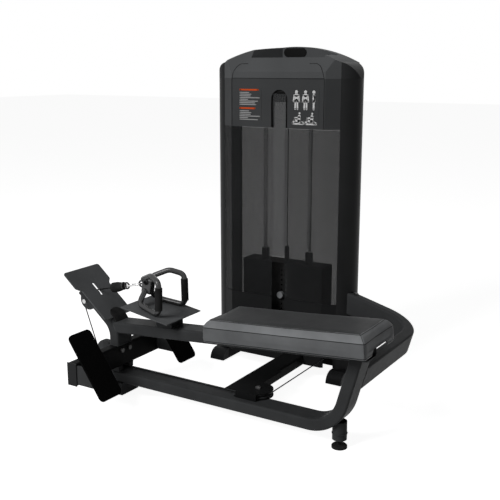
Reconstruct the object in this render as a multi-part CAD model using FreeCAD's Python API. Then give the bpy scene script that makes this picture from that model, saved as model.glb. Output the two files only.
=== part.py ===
"""Seated long-pull machine: low-row bench, pin-selected weight tower, cable and close-grip handle.

Millimetres.  While it is built, X runs along the bench towards the seat's free end, Y runs from the
bench towards the weight tower and Z is up, with the floor at Z = 0 and the bench centred on Y = 0.
The finished set is then moved so that the origin is the middle of its footprint, on the floor.
"""
import FreeCAD
import Part
import math
import os

V = FreeCAD.Vector
X_AXIS = V(1, 0, 0)
Y_AXIS = V(0, 1, 0)
Z_AXIS = V(0, 0, 1)

# ---------------------------------------------------------------- driving dimensions
# flat oval frame tube
tube_wide = 100.0
tube_thick = 50.0
tube_wall = 3.0
tube_corner = 9.0

# clearances
touch_gap = 0.3            # between a soft or moving piece and its seat
bore_fit = 0.05            # radial, shaft in a bearing or bush
plate_fit = 2.0            # radial, guide rod and stem in a weight plate
cable_fit = 0.3            # radial, cable in a groove

# bench loop: lower rail bent up into the leaning rear upright
rail_bottom = 61.0
rail_left_end = -700.0
upright_lean = 15.6        # degrees from vertical
upright_foot_x = 437.7     # where the two centre lines cross
loop_bend = 150.0
upright_length = 340.0     # along its centre line, from the crossing

# seat rail
seat_slope = 4.48          # degrees, rising towards the seat's free end
seat_rail_x = -665.0
seat_rail_top = 338.9      # height of its top face at seat_rail_x
seat_rail_length = 1230.0

# seat
seat_start = 562.0         # along the rail, from seat_rail_x
seat_length = 702.0
seat_width = 270.0
seat_thick = 66.0
seat_side = 40.0           # upright part of the cushion's side
seat_bevel = 26.0
board_thick = 10.0
board_inset = 12.0

# front beam, column and guard plate
beam_x = -629.0            # rear face, towards the seat
beam_bottom = 132.0
beam_half = 315.0
column_bend = 100.0
guard_slope = 40.7         # degrees below horizontal, towards the seat
guard_x = -807.6           # a point of its top face
guard_z = 487.4
guard_thick = 5.0
guard_top = 93.0           # up the slope from that point
guard_length = 289.0
guard_half_top = 114.0
guard_half_low = 90.0
guard_shoulder = 22.0
guard_round = 12.0
slot_length = 74.0
slot_width = 13.0
rail_foot_x = -609.0
rail_foot_half = 57.0
foot_rubber = 5.0
saddle_inner = 22.0

# foot plates
plate_bottom_x = -475.0
plate_bottom_z = 100.0
plate_tilt = 55.6          # degrees above horizontal
plate_length = 310.0
plate_width = 130.0
plate_thick = 8.0
plate_round = 22.0
plate_centre_y = 270.0
gusset_thick = 8.0
gusset_spread = 40.0
gusset_inset = 8.0

# rear support leg and its levelling glide
leg_x = 442.0
leg_radius = 29.0
leg_wall = 3.0
leg_bottom = 36.0
glide_radius = 31.0
glide_thick = 12.0
glide_stud = 8.0
glide_nut = 10.0

# sweep tube from the upright to the tower
sweep_top_on_axis = 337.0  # height of its top face on the upright's centre line
sweep_y = 661.0
sweep_bend = 155.0

# tower
tower_x = -182.5
tower_y = 690.0
tower_inner_half = 304.0
column_radius = 78.0       # of the half-round outer side
column_reach = 66.0        # from a column's flat inner side to its outermost line
column_wall = 3.0
column_top = 1400.0
cap_radius = 86.5
cap_drop = 14.0            # of its centre below the column's top
tower_foot_width = 78.0
tower_foot_inset = 21.0    # from a column's inner side to the middle of its foot
tower_foot_height = 55.0
tower_foot_front = 605.0
tower_foot_back = 775.0
cross_front = 700.0
cross_bottom = 35.0
cross_beam_x = -77.5
top_beam_bottom = 1290.0
crown_side_rise = 70.0     # from the upper panel to the ends of the arch
crown_arch_rise = 72.0
crown_header_rise = 29.0   # of the upright band under the leaning face
crown_lean = 45.0          # how far that face leans back by the peak
crown_back = 800.0
crown_shell = 5.0
crown_tray_left = -345.0
crown_tray_right = 45.0
crown_tray_taper = 95.0    # how far its left wall runs in towards the back
crown_tray_rise = 92.0     # from the upper panel to the tray's floor
crown_tray_back = 750.0
badge_width = 118.0
badge_height = 40.0
badge_thick = 3.0

# shrouds
shroud_front = 576.0
shroud_back = 804.0
shroud_flat_half = 245.0
shroud_flange = 28.0
rear_flange = 14.0
shroud_sheet = 4.0
shroud_bottom = 66.0
window_bottom = 376.0
upper_panel_height = 223.0
panel_gap = 1.5
opening_half = 34.0
opening_left = -202.0
opening_bottom = 300.0
opening_top = 574.0
recess_margin = 8.0
recess_drop = 50.0         # from the upper panel's top to the recess's round end
strip_thick = 2.0
strip_drop = 17.0          # from there to the strip's top
cable_gap_half = 20.0
cable_gap_top = 150.0
placard_thick = 1.0
placard_drop = 46.0
left_placard_gap = 52.0    # from the recess
left_placard_width = 133.0
left_placard_height = 140.0
right_placard_gap = 18.0
right_placard_width = 142.0
right_placard_height = 152.0

# weight stack
bumper_height = 27.0
plate_pitch = 24.0
plate_count = 14
lower_count = 8
stack_plate_width = 436.0
stack_plate_depth = 100.0
top_plate_thick = 24.0
rod_radius = 10.0
rod_spacing = 240.0
stem_radius = 12.5
pin_radius = 5.0
pin_grip = 20.0            # how far the pin reaches into the stem
knob_radius = 17.0
knob_length = 22.0
bush_radius = 18.5
bush_height = 55.0
connector_radius = 10.5
connector_height = 75.0
shelf_thick = 8.0
shelf_half = 178.0
bumper_radius = 30.0

# cable and pulleys
cable_radius = 2.5
cable_height = 125.0
sheave_radius = 40.0       # from the axle to the cable's centre
low_radius = 50.0
corner_radius = 55.0
base_radius = 37.0         # smaller, to pass behind the kick panel
sheave_rim = 6.0
sheave_width = 18.0
bearing_radius = 16.0
axle_radius = 6.0
cheek_gap = 1.0            # between a sheave and its bracket
cheek_thick = 4.0
cheek_margin = 4.0
wide_cheek_gap = 26.0      # from the middle plane to the front brackets' plates
sleeve_radius = 9.0
run_inset = 28.5           # from the right column to the cable that enters the tower
high_pulley_x = -834.0
high_pulley_z = 406.0
low_pulley_x = -737.5
bracket_tail = 330.0       # how far the corner pulley's bracket reaches along the cross beam
tail_width = 35.0
pull_angle = 14.0          # degrees, rise of the stretch to the handle
pull_start = 157.4         # from the high pulley to the stopper

# handle
stopper_length = 72.0
stopper_radius = 22.5
stopper_tip = 15.0
eye_radius = 13.0
link_wire = 4.0
link_gap = 0.5
clip_length = 78.0
clip_half = 16.0
block_length = 48.0
block_width = 34.0
block_height = 60.0
bar_radius = 12.0
grip_radius = 16.0
grip_length = 98.0
grip_reach = 140.0         # from the block's middle to the lower end of a grip
grip_side = 95.0
grip_lean = 22.0           # how far a grip's upper end leans back towards the block
grip_toe = 5.0             # how far its upper end leans towards the middle
loop_side = 63.0           # from the middle to a loop's upper and lower bars
loop_top = 72.0
loop_crest = 80.0
crest_reach = 56.0
return_reach = 6.0
shoulder_side = 34.0
shoulder_high = 38.0
root_side = 13.0           # where a loop's two ends meet the block
root_high = 18.0
root_back = 8.0
loop_bends = [18.0, 50.0, 28.0, 24.0, 46.0]
groove_count = 5
groove_radius = 9.0
groove_depth = 2.5

# handle tray and stop pad
tray_x = -543.0
tray_z = 447.0
tray_slope = 9.24          # degrees, falling towards the seat
tray_length = 249.0
tray_half = 122.0
tray_thick = 4.0
bracket_left = -415.0
bracket_right = -335.0
bracket_half = 42.0
bracket_sheet = 4.0
stop_radius = 40.0         # of the stop pad's round top end
stop_setback = 4.4         # from the guard plate's lower edge to the centre of that end
stop_thick = 9.0
stop_gap = 1.5             # between the pad and the plate's notch

# fasteners
head_height = 8.0
head_across = 19.0
sweep_bolt_x = 199.0       # bolt heads on the sweep tube's top, beside the tower

# ---------------------------------------------------------------- derived sizes
rail_top = rail_bottom + tube_thick
rail_mid = rail_bottom + tube_thick / 2
beam_front = beam_x - tube_thick
beam_top = beam_bottom + tube_wide
lean = math.radians(upright_lean)
upright_dir = V(math.sin(lean), 0, math.cos(lean))
upright_foot = V(upright_foot_x, 0, rail_mid)
sweep_on_axis = upright_foot + upright_dir * ((sweep_top_on_axis - rail_mid) / upright_dir.z)
sweep_back = V(-upright_dir.z, 0, upright_dir.x)
seat_frame = FreeCAD.Placement(V(seat_rail_x, 0, seat_rail_top), FreeCAD.Rotation(Y_AXIS, -seat_slope))
guard_down = V(math.cos(math.radians(guard_slope)), 0, -math.sin(math.radians(guard_slope)))
guard_out = V(math.sin(math.radians(guard_slope)), 0, math.cos(math.radians(guard_slope)))
guard_frame = FreeCAD.Placement(V(guard_x, 0, guard_z), FreeCAD.Rotation(Y_AXIS, guard_slope))
plate_up = V(-math.cos(math.radians(plate_tilt)), 0, math.sin(math.radians(plate_tilt)))
plate_out = V(math.sin(math.radians(plate_tilt)), 0, math.cos(math.radians(plate_tilt)))
inner_left = tower_x - tower_inner_half
inner_right = tower_x + tower_inner_half
tower_run_x = inner_right - run_inset
column_front = tower_y - column_radius
column_rear = tower_y + column_radius
column_bottom = tower_foot_height
cross_top = cross_bottom + tube_wide
shelf_top = cross_top + shelf_thick
stack_bottom = shelf_top + bumper_height
stack_front = tower_y - stack_plate_depth / 2
top_plate_bottom = stack_bottom + plate_count * plate_pitch
stack_top = top_plate_bottom + top_plate_thick
pin_height = stack_bottom + (lower_count + 0.5) * plate_pitch
top_beam_top = top_beam_bottom + tube_thick
panel_top = column_top - panel_gap
window_top = panel_top - upper_panel_height
recess_top = panel_top - recess_drop
strip_top = recess_top - strip_drop
crown_side = panel_top + crown_side_rise
crown_peak = crown_side + crown_arch_rise
crown_tray_floor = panel_top + crown_tray_rise
top_pulley_z = top_beam_top + sheave_radius + sheave_rim + cheek_margin
pull_rise = math.radians(pull_angle)
pull_dir = V(math.cos(pull_rise), 0, math.sin(pull_rise))
pull_normal = V(-math.sin(pull_rise), 0, math.cos(pull_rise))
high_pulley = V(high_pulley_x, 0, high_pulley_z)
low_pulley = V(low_pulley_x, 0, cable_height + low_radius)
corner_pulley = V(tower_run_x - corner_radius, corner_radius, cable_height)
base_pulley = V(tower_run_x, tower_y - base_radius, cable_height + base_radius)
side_pulley = V(tower_run_x - sheave_radius, tower_y, top_pulley_z)
centre_pulley = V(tower_x + sheave_radius, tower_y, top_pulley_z)
pull_from = high_pulley + pull_normal * sheave_radius
stopper_at = pull_from + pull_dir * pull_start
eye_at = stopper_at + pull_dir * (stopper_length + eye_radius)
clip_from = eye_at + pull_dir * (eye_radius - 2 * link_wire - link_gap)
clip_to = clip_from + pull_dir * clip_length
handle_eye = clip_to + pull_dir * (eye_radius - 2 * link_wire - link_gap)
tray_frame = FreeCAD.Placement(V(tray_x, 0, tray_z), FreeCAD.Rotation(Y_AXIS, tray_slope))
handle_turn = FreeCAD.Rotation(Y_AXIS, tray_slope)
block_at = handle_eye + handle_turn.multVec(V(eye_radius + block_length / 2, 0, 0))
block_frame = FreeCAD.Placement(block_at, handle_turn)
tray_drop = -tray_frame.inverse().multVec(block_at).z
loop_bottom = tray_drop + bar_radius + touch_gap

PIECES = {}


# ---------------------------------------------------------------- shape helpers
def box(x0, x1, y0, y1, z0, z1):
    """Box between two opposite corners."""
    return Part.makeBox(x1 - x0, y1 - y0, z1 - z0, V(x0, y0, z0))


def rod(radius, start, end):
    """Round bar from one point to another."""
    return Part.makeCylinder(radius, (end - start).Length, start, end - start)


def placed(shape, frame):
    """Copy of a shape, moved by a placement."""
    moved = shape.copy()
    moved.transformShape(frame.toMatrix())
    return moved


def group(shapes):
    """Separate solids kept as one sub-part."""
    solids = []
    for shape in shapes:
        solids.extend(shape.Solids)
    return Part.makeCompound(solids)


def slab(points, thickness):
    """Flat plate: polygon of points, extruded by a vector."""
    return Part.Face(Part.makePolygon(points + [points[0]])).extrude(thickness)


def side_plate(outline, y0, y1):
    """Plate across the bench from an outline of (x, z) points."""
    return slab([V(x, y0, z) for x, z in outline], V(0, y1 - y0, 0))


def rounded_slab(points, radius, thickness):
    """Flat plate whose corners all have one radius."""
    corners = [(point, radius) for point in points]
    return Part.Face(rounded_loop(corners)).extrude(thickness)


def corner_arc(before, point, after, radius):
    """Tangent points and arc that round a corner."""
    back = (before - point).normalize()
    ahead = (after - point).normalize()
    half = back.getAngle(ahead) / 2
    reach = radius / math.tan(half)
    start = point + back * reach
    end = point + ahead * reach
    centre = point + (back + ahead).normalize() * (radius / math.sin(half))
    middle = centre + (point - centre).normalize() * radius
    return start, middle, end


def rounded_path(points, radii):
    """Open wire of straight runs joined by tangent arcs, one radius for each inner point."""
    edges = []
    here = points[0]
    for before, point, after, radius in zip(points, points[1:], points[2:], radii):
        start, middle, end = corner_arc(before, point, after, radius)
        if (start - here).Length > 1e-6:
            edges.append(Part.LineSegment(here, start).toShape())
        edges.append(Part.Arc(start, middle, end).toShape())
        here = end
    edges.append(Part.LineSegment(here, points[-1]).toShape())
    return Part.Wire(edges)


def rounded_loop(corners):
    """Closed wire through (point, radius) corners."""
    edges = []
    arcs = []
    count = len(corners)
    for i, (point, radius) in enumerate(corners):
        arcs.append(corner_arc(corners[i - 1][0], point, corners[(i + 1) % count][0], radius))
    for i, (start, middle, end) in enumerate(arcs):
        edges.append(Part.Arc(start, middle, end).toShape())
        following = arcs[(i + 1) % count][0]
        if (following - end).Length > 1e-6:
            edges.append(Part.LineSegment(end, following).toShape())
    return Part.Wire(edges)


def oval_profile(centre, wide_dir, thick_dir, wide, thick, corner):
    """Closed outline of a flat tube around a point."""
    signs = ((1, 1), (1, -1), (-1, -1), (-1, 1))
    points = [centre + wide_dir * (a * wide / 2) + thick_dir * (b * thick / 2) for a, b in signs]
    return rounded_loop([(point, corner) for point in points])


def swept(path, profile, normal):
    """Solid that carries a profile along a flat path, held square to the path's plane."""
    pipe = Part.BRepOffsetAPI.MakePipeShell(path)
    pipe.setBiNormalMode(normal)
    pipe.add(profile)
    pipe.build()
    pipe.makeSolid()
    return pipe.shape()


def frame_tube(points, radii, normal):
    """Hollow frame tube and its outside, wide face square to the normal's plane."""
    path = rounded_path(points, radii)
    run = (points[1] - points[0]).normalize()
    across = run.cross(normal)
    skins = []
    for wall in (0, tube_wall):
        outline = oval_profile(points[0], normal, across, tube_wide - 2 * wall,
                               tube_thick - 2 * wall, tube_corner - wall)
        skins.append(swept(path, outline, normal))
    outside, inside = skins
    return outside.cut(inside), outside


def round_bar(points, radii, radius):
    """Bent round bar."""
    path = rounded_path(points, radii)
    circle = Part.Wire(Part.makeCircle(radius, points[0], points[1] - points[0]))
    return path.makePipeShell([circle], True, True)


def hex_prism(centre, axis, across, height):
    """Hexagon head that stands on a point along an axis."""
    side = axis.cross(Z_AXIS if abs(axis.z) < 0.9 else X_AXIS).normalize()
    other = axis.cross(side).normalize()
    radius = across / math.sqrt(3)
    points = []
    for i in range(6):
        angle = math.radians(60 * i)
        points.append(centre + side * (radius * math.cos(angle)) + other * (radius * math.sin(angle)))
    return slab(points, axis * height)


def folded_sheet(points, thickness, z0, z1):
    """Upright sheet folded along a plan outline, its thickness to the left of the outline."""
    inner = []
    for i, point in enumerate(points):
        before = points[i] - points[i - 1] if i > 0 else points[1] - points[0]
        after = points[i + 1] - points[i] if i < len(points) - 1 else before
        before = before.normalize()
        after = after.normalize()
        left = Z_AXIS.cross(before + after).normalize()
        stretch = 1 / math.cos(before.getAngle(after) / 2)
        inner.append(point + left * (thickness * stretch))
    outline = [V(p.x, p.y, z0) for p in points + inner[::-1]]
    return slab(outline, V(0, 0, z1 - z0))


def sheave(centre, axis, radius):
    """Grooved wheel with its pressed-in bearing, cable centre at the given radius."""
    half = sheave_width / 2
    rim = radius + sheave_rim
    wheel = Part.makeCylinder(rim, sheave_width, V(0, 0, -half))
    groove = Part.makeTorus(radius, cable_radius + cable_fit)
    mouth = cable_radius + cable_fit
    flare = mouth + sheave_rim / 3
    notch = Part.makePolygon([V(radius, 0, -mouth), V(rim + 1, 0, -flare), V(rim + 1, 0, flare),
                              V(radius, 0, mouth), V(radius, 0, -mouth)])
    notch = Part.Face(notch).revolve(V(0, 0, 0), Z_AXIS, 360)
    bore = Part.makeCylinder(bearing_radius, sheave_width, V(0, 0, -half))
    wheel = wheel.cut(groove).cut(notch).cut(bore)
    bearing = Part.makeCylinder(bearing_radius, sheave_width, V(0, 0, -half))
    bearing = bearing.cut(Part.makeCylinder(axle_radius + bore_fit, sheave_width, V(0, 0, -half)))
    turn = FreeCAD.Placement(centre, FreeCAD.Rotation(Z_AXIS, axis))
    return group([placed(wheel, turn), placed(bearing, turn)])


def cheeks(outline_face, axis, near):
    """Pair of bracket plates at a distance each side of a face in the sheave's middle plane."""
    pair = []
    for side in (1, -1):
        plate = outline_face.copy()
        plate.translate(axis * (side * near))
        pair.append(plate.extrude(axis * (side * cheek_thick)))
    return pair


def axle(centre, axis, near, nut):
    """Bolt through a pair of cheeks: hexagon head, sleeves up to the sheave and, if asked, a nut."""
    half = near + cheek_thick
    bolt = rod(axle_radius, centre - axis * half, centre + axis * half)
    bolt = bolt.fuse(hex_prism(centre + axis * half, axis, head_across, head_height))
    if nut:
        bolt = bolt.fuse(hex_prism(centre - axis * half, axis * -1, head_across, head_height))
    beside = sheave_width / 2 + touch_gap
    for side in (1, -1):
        bolt = bolt.fuse(rod(sleeve_radius, centre + axis * (side * beside), centre + axis * (side * near)))
    return bolt.removeSplitter()


def bored(plates, centre, axis):
    """Plates with the axle's hole through them."""
    reach = wide_cheek_gap + 2 * cheek_thick
    hole = rod(axle_radius, centre - axis * reach, centre + axis * reach)
    return [plate.cut(hole) for plate in plates]


def d_section(side, z0, z1, shrink):
    """Tower column section: flat inner side, round outer side (side is 1 right, -1 left)."""
    flat = tower_x + side * (tower_inner_half + shrink)
    centre = tower_x + side * (tower_inner_half + column_reach - column_radius)
    round_bar_part = rod(column_radius - shrink, V(centre, tower_y, z0), V(centre, tower_y, z1))
    near, far = sorted((flat, flat + side * column_radius))
    return round_bar_part.common(box(near, far, column_front, column_rear, z0, z1))


# ---------------------------------------------------------------- bench frame
def bench_frame():
    """Loop tube, seat rail, front column, front beam, sweep tube and what carries them."""
    upright_top = upright_foot + upright_dir * upright_length
    loop, loop_outside = frame_tube([V(rail_left_end, 0, rail_mid), upright_foot, upright_top],
                                    [loop_bend], Y_AXIS)
    PIECES["loop_tube"] = loop

    column_axis = V(beam_x - tube_thick / 2, 0, beam_top)
    behind = guard_thick + tube_thick / 2
    guard_point = V(guard_x, 0, guard_z) - guard_out * behind
    rise = (column_axis.x - guard_point.x) / guard_down.x
    column_corner = guard_point + guard_down * rise
    housing_end = cheek_reach()[1]
    column_end = guard_point + guard_down * housing_end
    column_line = [column_axis, column_corner, column_end]
    column, column_outside = frame_tube(column_line, [column_bend], Y_AXIS)
    PIECES["front_column"] = column
    PIECES["stop_pad"] = stop_pad(column_line, column_outside)

    start = seat_frame.multVec(V(0, 0, -tube_thick / 2))
    end = seat_frame.multVec(V(seat_rail_length, 0, -tube_thick / 2))
    rail = frame_tube([start, end], [], Y_AXIS)[0]
    rail = rail.cut(column_outside).cut(loop_outside)
    PIECES["seat_rail"] = max(rail.Solids, key=lambda solid: solid.Volume)

    middle = V(beam_x - tube_thick / 2, 0, beam_bottom + tube_wide / 2)
    half = V(0, beam_half, 0)
    PIECES["front_beam"] = frame_tube([middle - half, middle + half], [], Z_AXIS)[0]

    saddles = []
    for side in (1, -1):
        near, far = sorted((side * saddle_inner, side * tube_wide / 2))
        saddles.append(box(beam_front, beam_x, near, far, rail_top, beam_bottom))
    foot_left = rail_foot_x - tube_thick
    saddles.append(box(foot_left, rail_foot_x, -rail_foot_half, rail_foot_half, foot_rubber, rail_bottom))
    PIECES["front_spacers"] = group(saddles)

    heart = sweep_on_axis - upright_dir * (tube_wide / 2)
    corner = heart + Y_AXIS * sweep_y
    run = (heart.x - inner_right) / upright_dir.z
    sweep = frame_tube([heart + Y_AXIS * (tube_wide / 2), corner, corner + sweep_back * run],
                       [sweep_bend], upright_dir)[0]
    column_solid = d_section(1, 0, column_top, 0)
    sweep = sweep.cut(column_solid)
    PIECES["sweep_tube"] = max(sweep.Solids, key=lambda solid: solid.Volume)

    leg = rod(leg_radius, V(leg_x, 0, leg_bottom), V(leg_x, 0, rail_top))
    leg = leg.cut(rod(leg_radius - leg_wall, V(leg_x, 0, leg_bottom + leg_wall), V(leg_x, 0, rail_top)))
    leg = leg.cut(rod(glide_stud, V(leg_x, 0, leg_bottom), V(leg_x, 0, leg_bottom + leg_wall)))
    leg = leg.cut(loop_outside)
    PIECES["support_leg"] = min(leg.Solids, key=lambda solid: solid.BoundBox.ZMin)

    pad = rod(glide_radius, V(leg_x, 0, 0), V(leg_x, 0, glide_thick))
    pad = pad.makeChamfer(glide_thick / 4, [edge for edge in pad.Edges if edge.BoundBox.ZMin > 1])
    stud = rod(glide_stud, V(leg_x, 0, glide_thick), V(leg_x, 0, leg_bottom + 2 * leg_wall))
    nut = hex_prism(V(leg_x, 0, leg_bottom), Z_AXIS * -1, head_across * 1.5, glide_nut)
    PIECES["levelling_glide"] = pad.fuse(stud).fuse(nut)


def cheek_reach():
    """Where the high pulley's bracket starts and ends along the guard plate's slope."""
    along = (high_pulley - V(guard_x, 0, guard_z)).dot(guard_down)
    radius = sheave_radius + sheave_rim + cheek_margin
    return along - radius, along + radius


# ---------------------------------------------------------------- front plates
def guard_plate():
    """Shield with a slot for the cable, lying on the column."""
    shoulder = guard_length - guard_top
    points = [V(-guard_top, -guard_half_top, 0), V(0, -guard_half_top, 0),
              V(guard_shoulder, -guard_half_low, 0), V(shoulder, -guard_half_low, 0),
              V(shoulder, guard_half_low, 0), V(guard_shoulder, guard_half_low, 0),
              V(0, guard_half_top, 0), V(-guard_top, guard_half_top, 0)]
    plate = rounded_slab(points, guard_round, V(0, 0, -guard_thick))
    middle = (high_pulley - V(guard_x, 0, guard_z)).dot(guard_down)
    reach = (slot_length - slot_width) / 2
    deep = V(0, 0, -2 * guard_thick)
    high = V(0, 0, guard_thick)
    slot = box(middle - reach, middle + reach, -slot_width / 2, slot_width / 2, deep.z, high.z)
    for end in (middle - reach, middle + reach):
        slot = slot.fuse(rod(slot_width / 2, V(end, 0, 0) + deep, V(end, 0, 0) + high))
    plate = placed(plate.cut(slot), guard_frame)
    PIECES["guard_plate"] = plate.cut(stop_outline(stop_radius + stop_gap))


def foot_plates():
    """Two slanted foot plates, their gussets on the front beam and the tray's bracket."""
    corner = V(plate_bottom_x, 0, plate_bottom_z)
    plates = []
    gussets = []
    back = corner - plate_out * plate_thick
    for side in (1, -1):
        middle = corner + Y_AXIS * (side * plate_centre_y)
        across = Y_AXIS * (plate_width / 2)
        points = [middle - across, middle + across,
                  middle + across + plate_up * plate_length, middle - across + plate_up * plate_length]
        plates.append(rounded_slab(points, plate_round, plate_out * -plate_thick))
        for offset in (-gusset_spread, gusset_spread):
            y = middle.y + offset
            low = beam_bottom + gusset_inset
            high = beam_top - gusset_inset
            outline = [(beam_x, low), (plate_back_x(back, low), low),
                       (plate_back_x(back, high), high), (beam_x, high)]
            gussets.append(side_plate(outline, y - gusset_thick / 2, y + gusset_thick / 2))
    PIECES["foot_plates"] = group(plates)
    PIECES["foot_plate_gussets"] = group(gussets)


def plate_back_x(back, height):
    """Where the foot plates' back face is at a height."""
    return back.x + plate_up.x * (height - back.z) / plate_up.z


def stop_end():
    """Centre of the stop pad's round end, on the guard plate's top face."""
    return guard_frame.multVec(V(guard_length - guard_top - stop_setback, 0, 0))


def stop_outline(radius):
    """Tongue shape that reaches from the guard plate's notch down past the seat rail."""
    deep = guard_out * (2 * tube_wide)
    end = stop_end()
    tongue = rod(radius, end - deep, end + deep)
    tail = box(0, 2 * tube_wide, -radius, radius, -2 * tube_wide, 2 * tube_wide)
    frame = FreeCAD.Placement(end, guard_frame.Rotation)
    return tongue.fuse(placed(tail, frame))


def stop_pad(column_line, column_outside):
    """Rubber pad over the column's bend, between the guard plate and the seat rail."""
    path = rounded_path(column_line, [column_bend])
    thick = tube_thick + 2 * stop_thick
    skin = swept(path, oval_profile(column_line[0], Y_AXIS, X_AXIS, tube_wide, thick, tube_corner), Y_AXIS)
    pad = skin.cut(column_outside).common(stop_outline(stop_radius))
    below = box(-tube_wide, 2 * tube_wide, -tube_wide, tube_wide, -4 * tube_wide, 0)
    pad = pad.cut(placed(below, seat_frame))
    return max(pad.Solids, key=lambda solid: solid.BoundBox.XMax)


def tray():
    """Handle tray and its bracket on the seat rail."""
    flat = box(0, tray_length, -tray_half, tray_half, -tray_thick, 0)
    PIECES["handle_tray"] = placed(flat, tray_frame)
    slope = math.tan(math.radians(tray_slope))
    under = tray_thick / math.cos(math.radians(tray_slope))
    roof = [tray_z - (x - tray_x) * slope - under for x in (bracket_left, bracket_right)]
    base = [rail_surface(x) for x in (bracket_left, bracket_right)]
    outline = [(bracket_left, base[0]), (bracket_right, base[1]),
               (bracket_right, roof[1]), (bracket_left, roof[0])]
    whole = side_plate(outline, -bracket_half, bracket_half)
    inner_half = bracket_half - bracket_sheet
    hollow = box(bracket_left - 1, bracket_right - bracket_sheet, -inner_half, inner_half, 0, tray_z)
    PIECES["tray_bracket"] = whole.cut(hollow)


def rail_surface(x):
    """Height of the seat rail's top face."""
    return seat_rail_top + (x - seat_rail_x) * math.tan(math.radians(seat_slope))


def seat():
    """Cushion with bevelled top edges, on a plywood board on the rail."""
    half = seat_width / 2
    board = box(seat_start + board_inset, seat_start + seat_length - board_inset,
                -half + board_inset, half - board_inset, 0, board_thick)
    PIECES["seat_board"] = placed(board, seat_frame)
    low = board_thick + touch_gap
    side = low + seat_side
    top = low + seat_thick
    body = box(seat_start, seat_start + seat_length, -half, half, low, side)
    sections = []
    for inset, height in ((0, side), (seat_bevel, top)):
        x0 = seat_start + inset
        x1 = seat_start + seat_length - inset
        y = half - inset
        sections.append(Part.makePolygon([V(x0, -y, height), V(x1, -y, height), V(x1, y, height),
                                          V(x0, y, height), V(x0, -y, height)]))
    crown = Part.makeLoft(sections, True, True)
    PIECES["seat_pad"] = placed(body.fuse(crown).removeSplitter(), seat_frame)


# ---------------------------------------------------------------- tower
def tower_foot_x(side):
    """Middle of the foot under a column."""
    return tower_x + side * (tower_inner_half + tower_foot_inset)


def tower_frame():
    """Columns, their feet and caps, cross members and the weight stack's shelf."""
    columns = []
    caps = []
    feet = []
    for side in (1, -1):
        outer = d_section(side, column_bottom, column_top, 0)
        columns.append(outer.cut(d_section(side, column_bottom, column_top, column_wall)))
        inner_x = tower_x + side * tower_inner_half
        pivot = V(inner_x - side * (cap_radius - column_reach), column_front, column_top - cap_drop)
        dome = rod(cap_radius, pivot, pivot + V(0, 2 * column_radius, 0))
        caps.append(d_section(side, column_top, column_top + cap_radius, 0).common(dome))
        middle = tower_foot_x(side)
        half = tower_foot_width / 2
        foot = box(middle - half, middle + half, tower_foot_front, tower_foot_back,
                   foot_rubber, column_bottom)
        inside = half - tube_wall
        bore = box(middle - inside, middle + inside, tower_foot_front, tower_foot_back,
                   foot_rubber + tube_wall, column_bottom - tube_wall)
        feet.append(foot.cut(bore))
    PIECES["tower_columns"] = group(columns)
    PIECES["column_caps"] = group(caps)
    PIECES["tower_feet"] = group(feet)

    cross_mid = V(inner_left, cross_front + tube_thick / 2, cross_bottom + tube_wide / 2)
    span = V(2 * tower_inner_half, 0, 0)
    cross = frame_tube([cross_mid, cross_mid + span], [], Z_AXIS)[0]
    for side in (1, -1):
        middle = tower_foot_x(side)
        half = tower_foot_width / 2
        cross = cross.cut(box(middle - half, middle + half, tower_foot_front, tower_foot_back,
                              foot_rubber, column_bottom))
    PIECES["tower_cross_member"] = max(cross.Solids, key=lambda solid: solid.Volume)

    start = V(cross_beam_x, tube_wide / 2, rail_mid)
    end = V(cross_beam_x, cross_front, rail_mid)
    PIECES["mid_cross_beam"] = frame_tube([start, end], [], X_AXIS)[0]

    shelf = box(tower_x - shelf_half, tower_x + shelf_half, stack_front, cross_front + tube_thick,
                cross_top, shelf_top)
    riser = box(cross_beam_x - tube_thick / 2, cross_beam_x + tube_thick / 2,
                stack_front, cross_front, rail_top, cross_top)
    PIECES["stack_shelf"] = group([shelf, riser])

    beam_mid = V(inner_left, tower_y, top_beam_bottom + tube_thick / 2)
    beam = frame_tube([beam_mid, beam_mid + span], [], Y_AXIS)[0]
    for x in (tower_x, tower_run_x):
        beam = beam.cut(rod(2 * cable_radius + cable_fit, V(x, tower_y, top_beam_bottom),
                            V(x, tower_y, top_beam_top)))
    PIECES["top_beam"] = beam


def crown_solid(drop):
    """Arched block over the shrouds' plan with a leaning front, its faces moved in by drop."""
    left = inner_left + drop
    right = inner_right - drop
    front = shroud_front + drop
    back = crown_back - drop
    ends = [V(left, front, panel_top), V(left, front, crown_side - drop),
            V(right, front, crown_side - drop), V(right, front, panel_top)]
    peak = V(tower_x, front, crown_peak - drop)
    edges = [Part.LineSegment(ends[0], ends[1]).toShape(),
             Part.Arc(ends[1], peak, ends[2]).toShape(),
             Part.LineSegment(ends[2], ends[3]).toShape(),
             Part.LineSegment(ends[3], ends[0]).toShape()]
    arch = Part.Face(Part.Wire(edges)).extrude(V(0, back - front, 0))
    facets = slab([V(left, back, panel_top), V(left, column_front + drop, panel_top),
                   V(tower_x - shroud_flat_half, front, panel_top),
                   V(tower_x + shroud_flat_half, front, panel_top),
                   V(right, column_front + drop, panel_top), V(right, back, panel_top)],
                  V(0, 0, crown_peak - panel_top))
    lean = slab([V(left, front, panel_top), V(left, front, panel_top + crown_header_rise),
                 V(left, front + crown_lean, crown_peak), V(left, back, crown_peak),
                 V(left, back, panel_top)], V(right - left, 0, 0))
    return arch.common(facets).common(lean)


def tray_block(grow):
    """Block that the crown's tray is cut with, or with its walls grown on."""
    floor = crown_tray_floor - grow
    left = crown_tray_left - grow
    right = crown_tray_right + grow
    back = crown_tray_back + grow
    return slab([V(left, shroud_front, floor), V(right, shroud_front, floor), V(right, back, floor),
                 V(left + crown_tray_taper, back, floor)], V(0, 0, crown_peak - floor))


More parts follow.
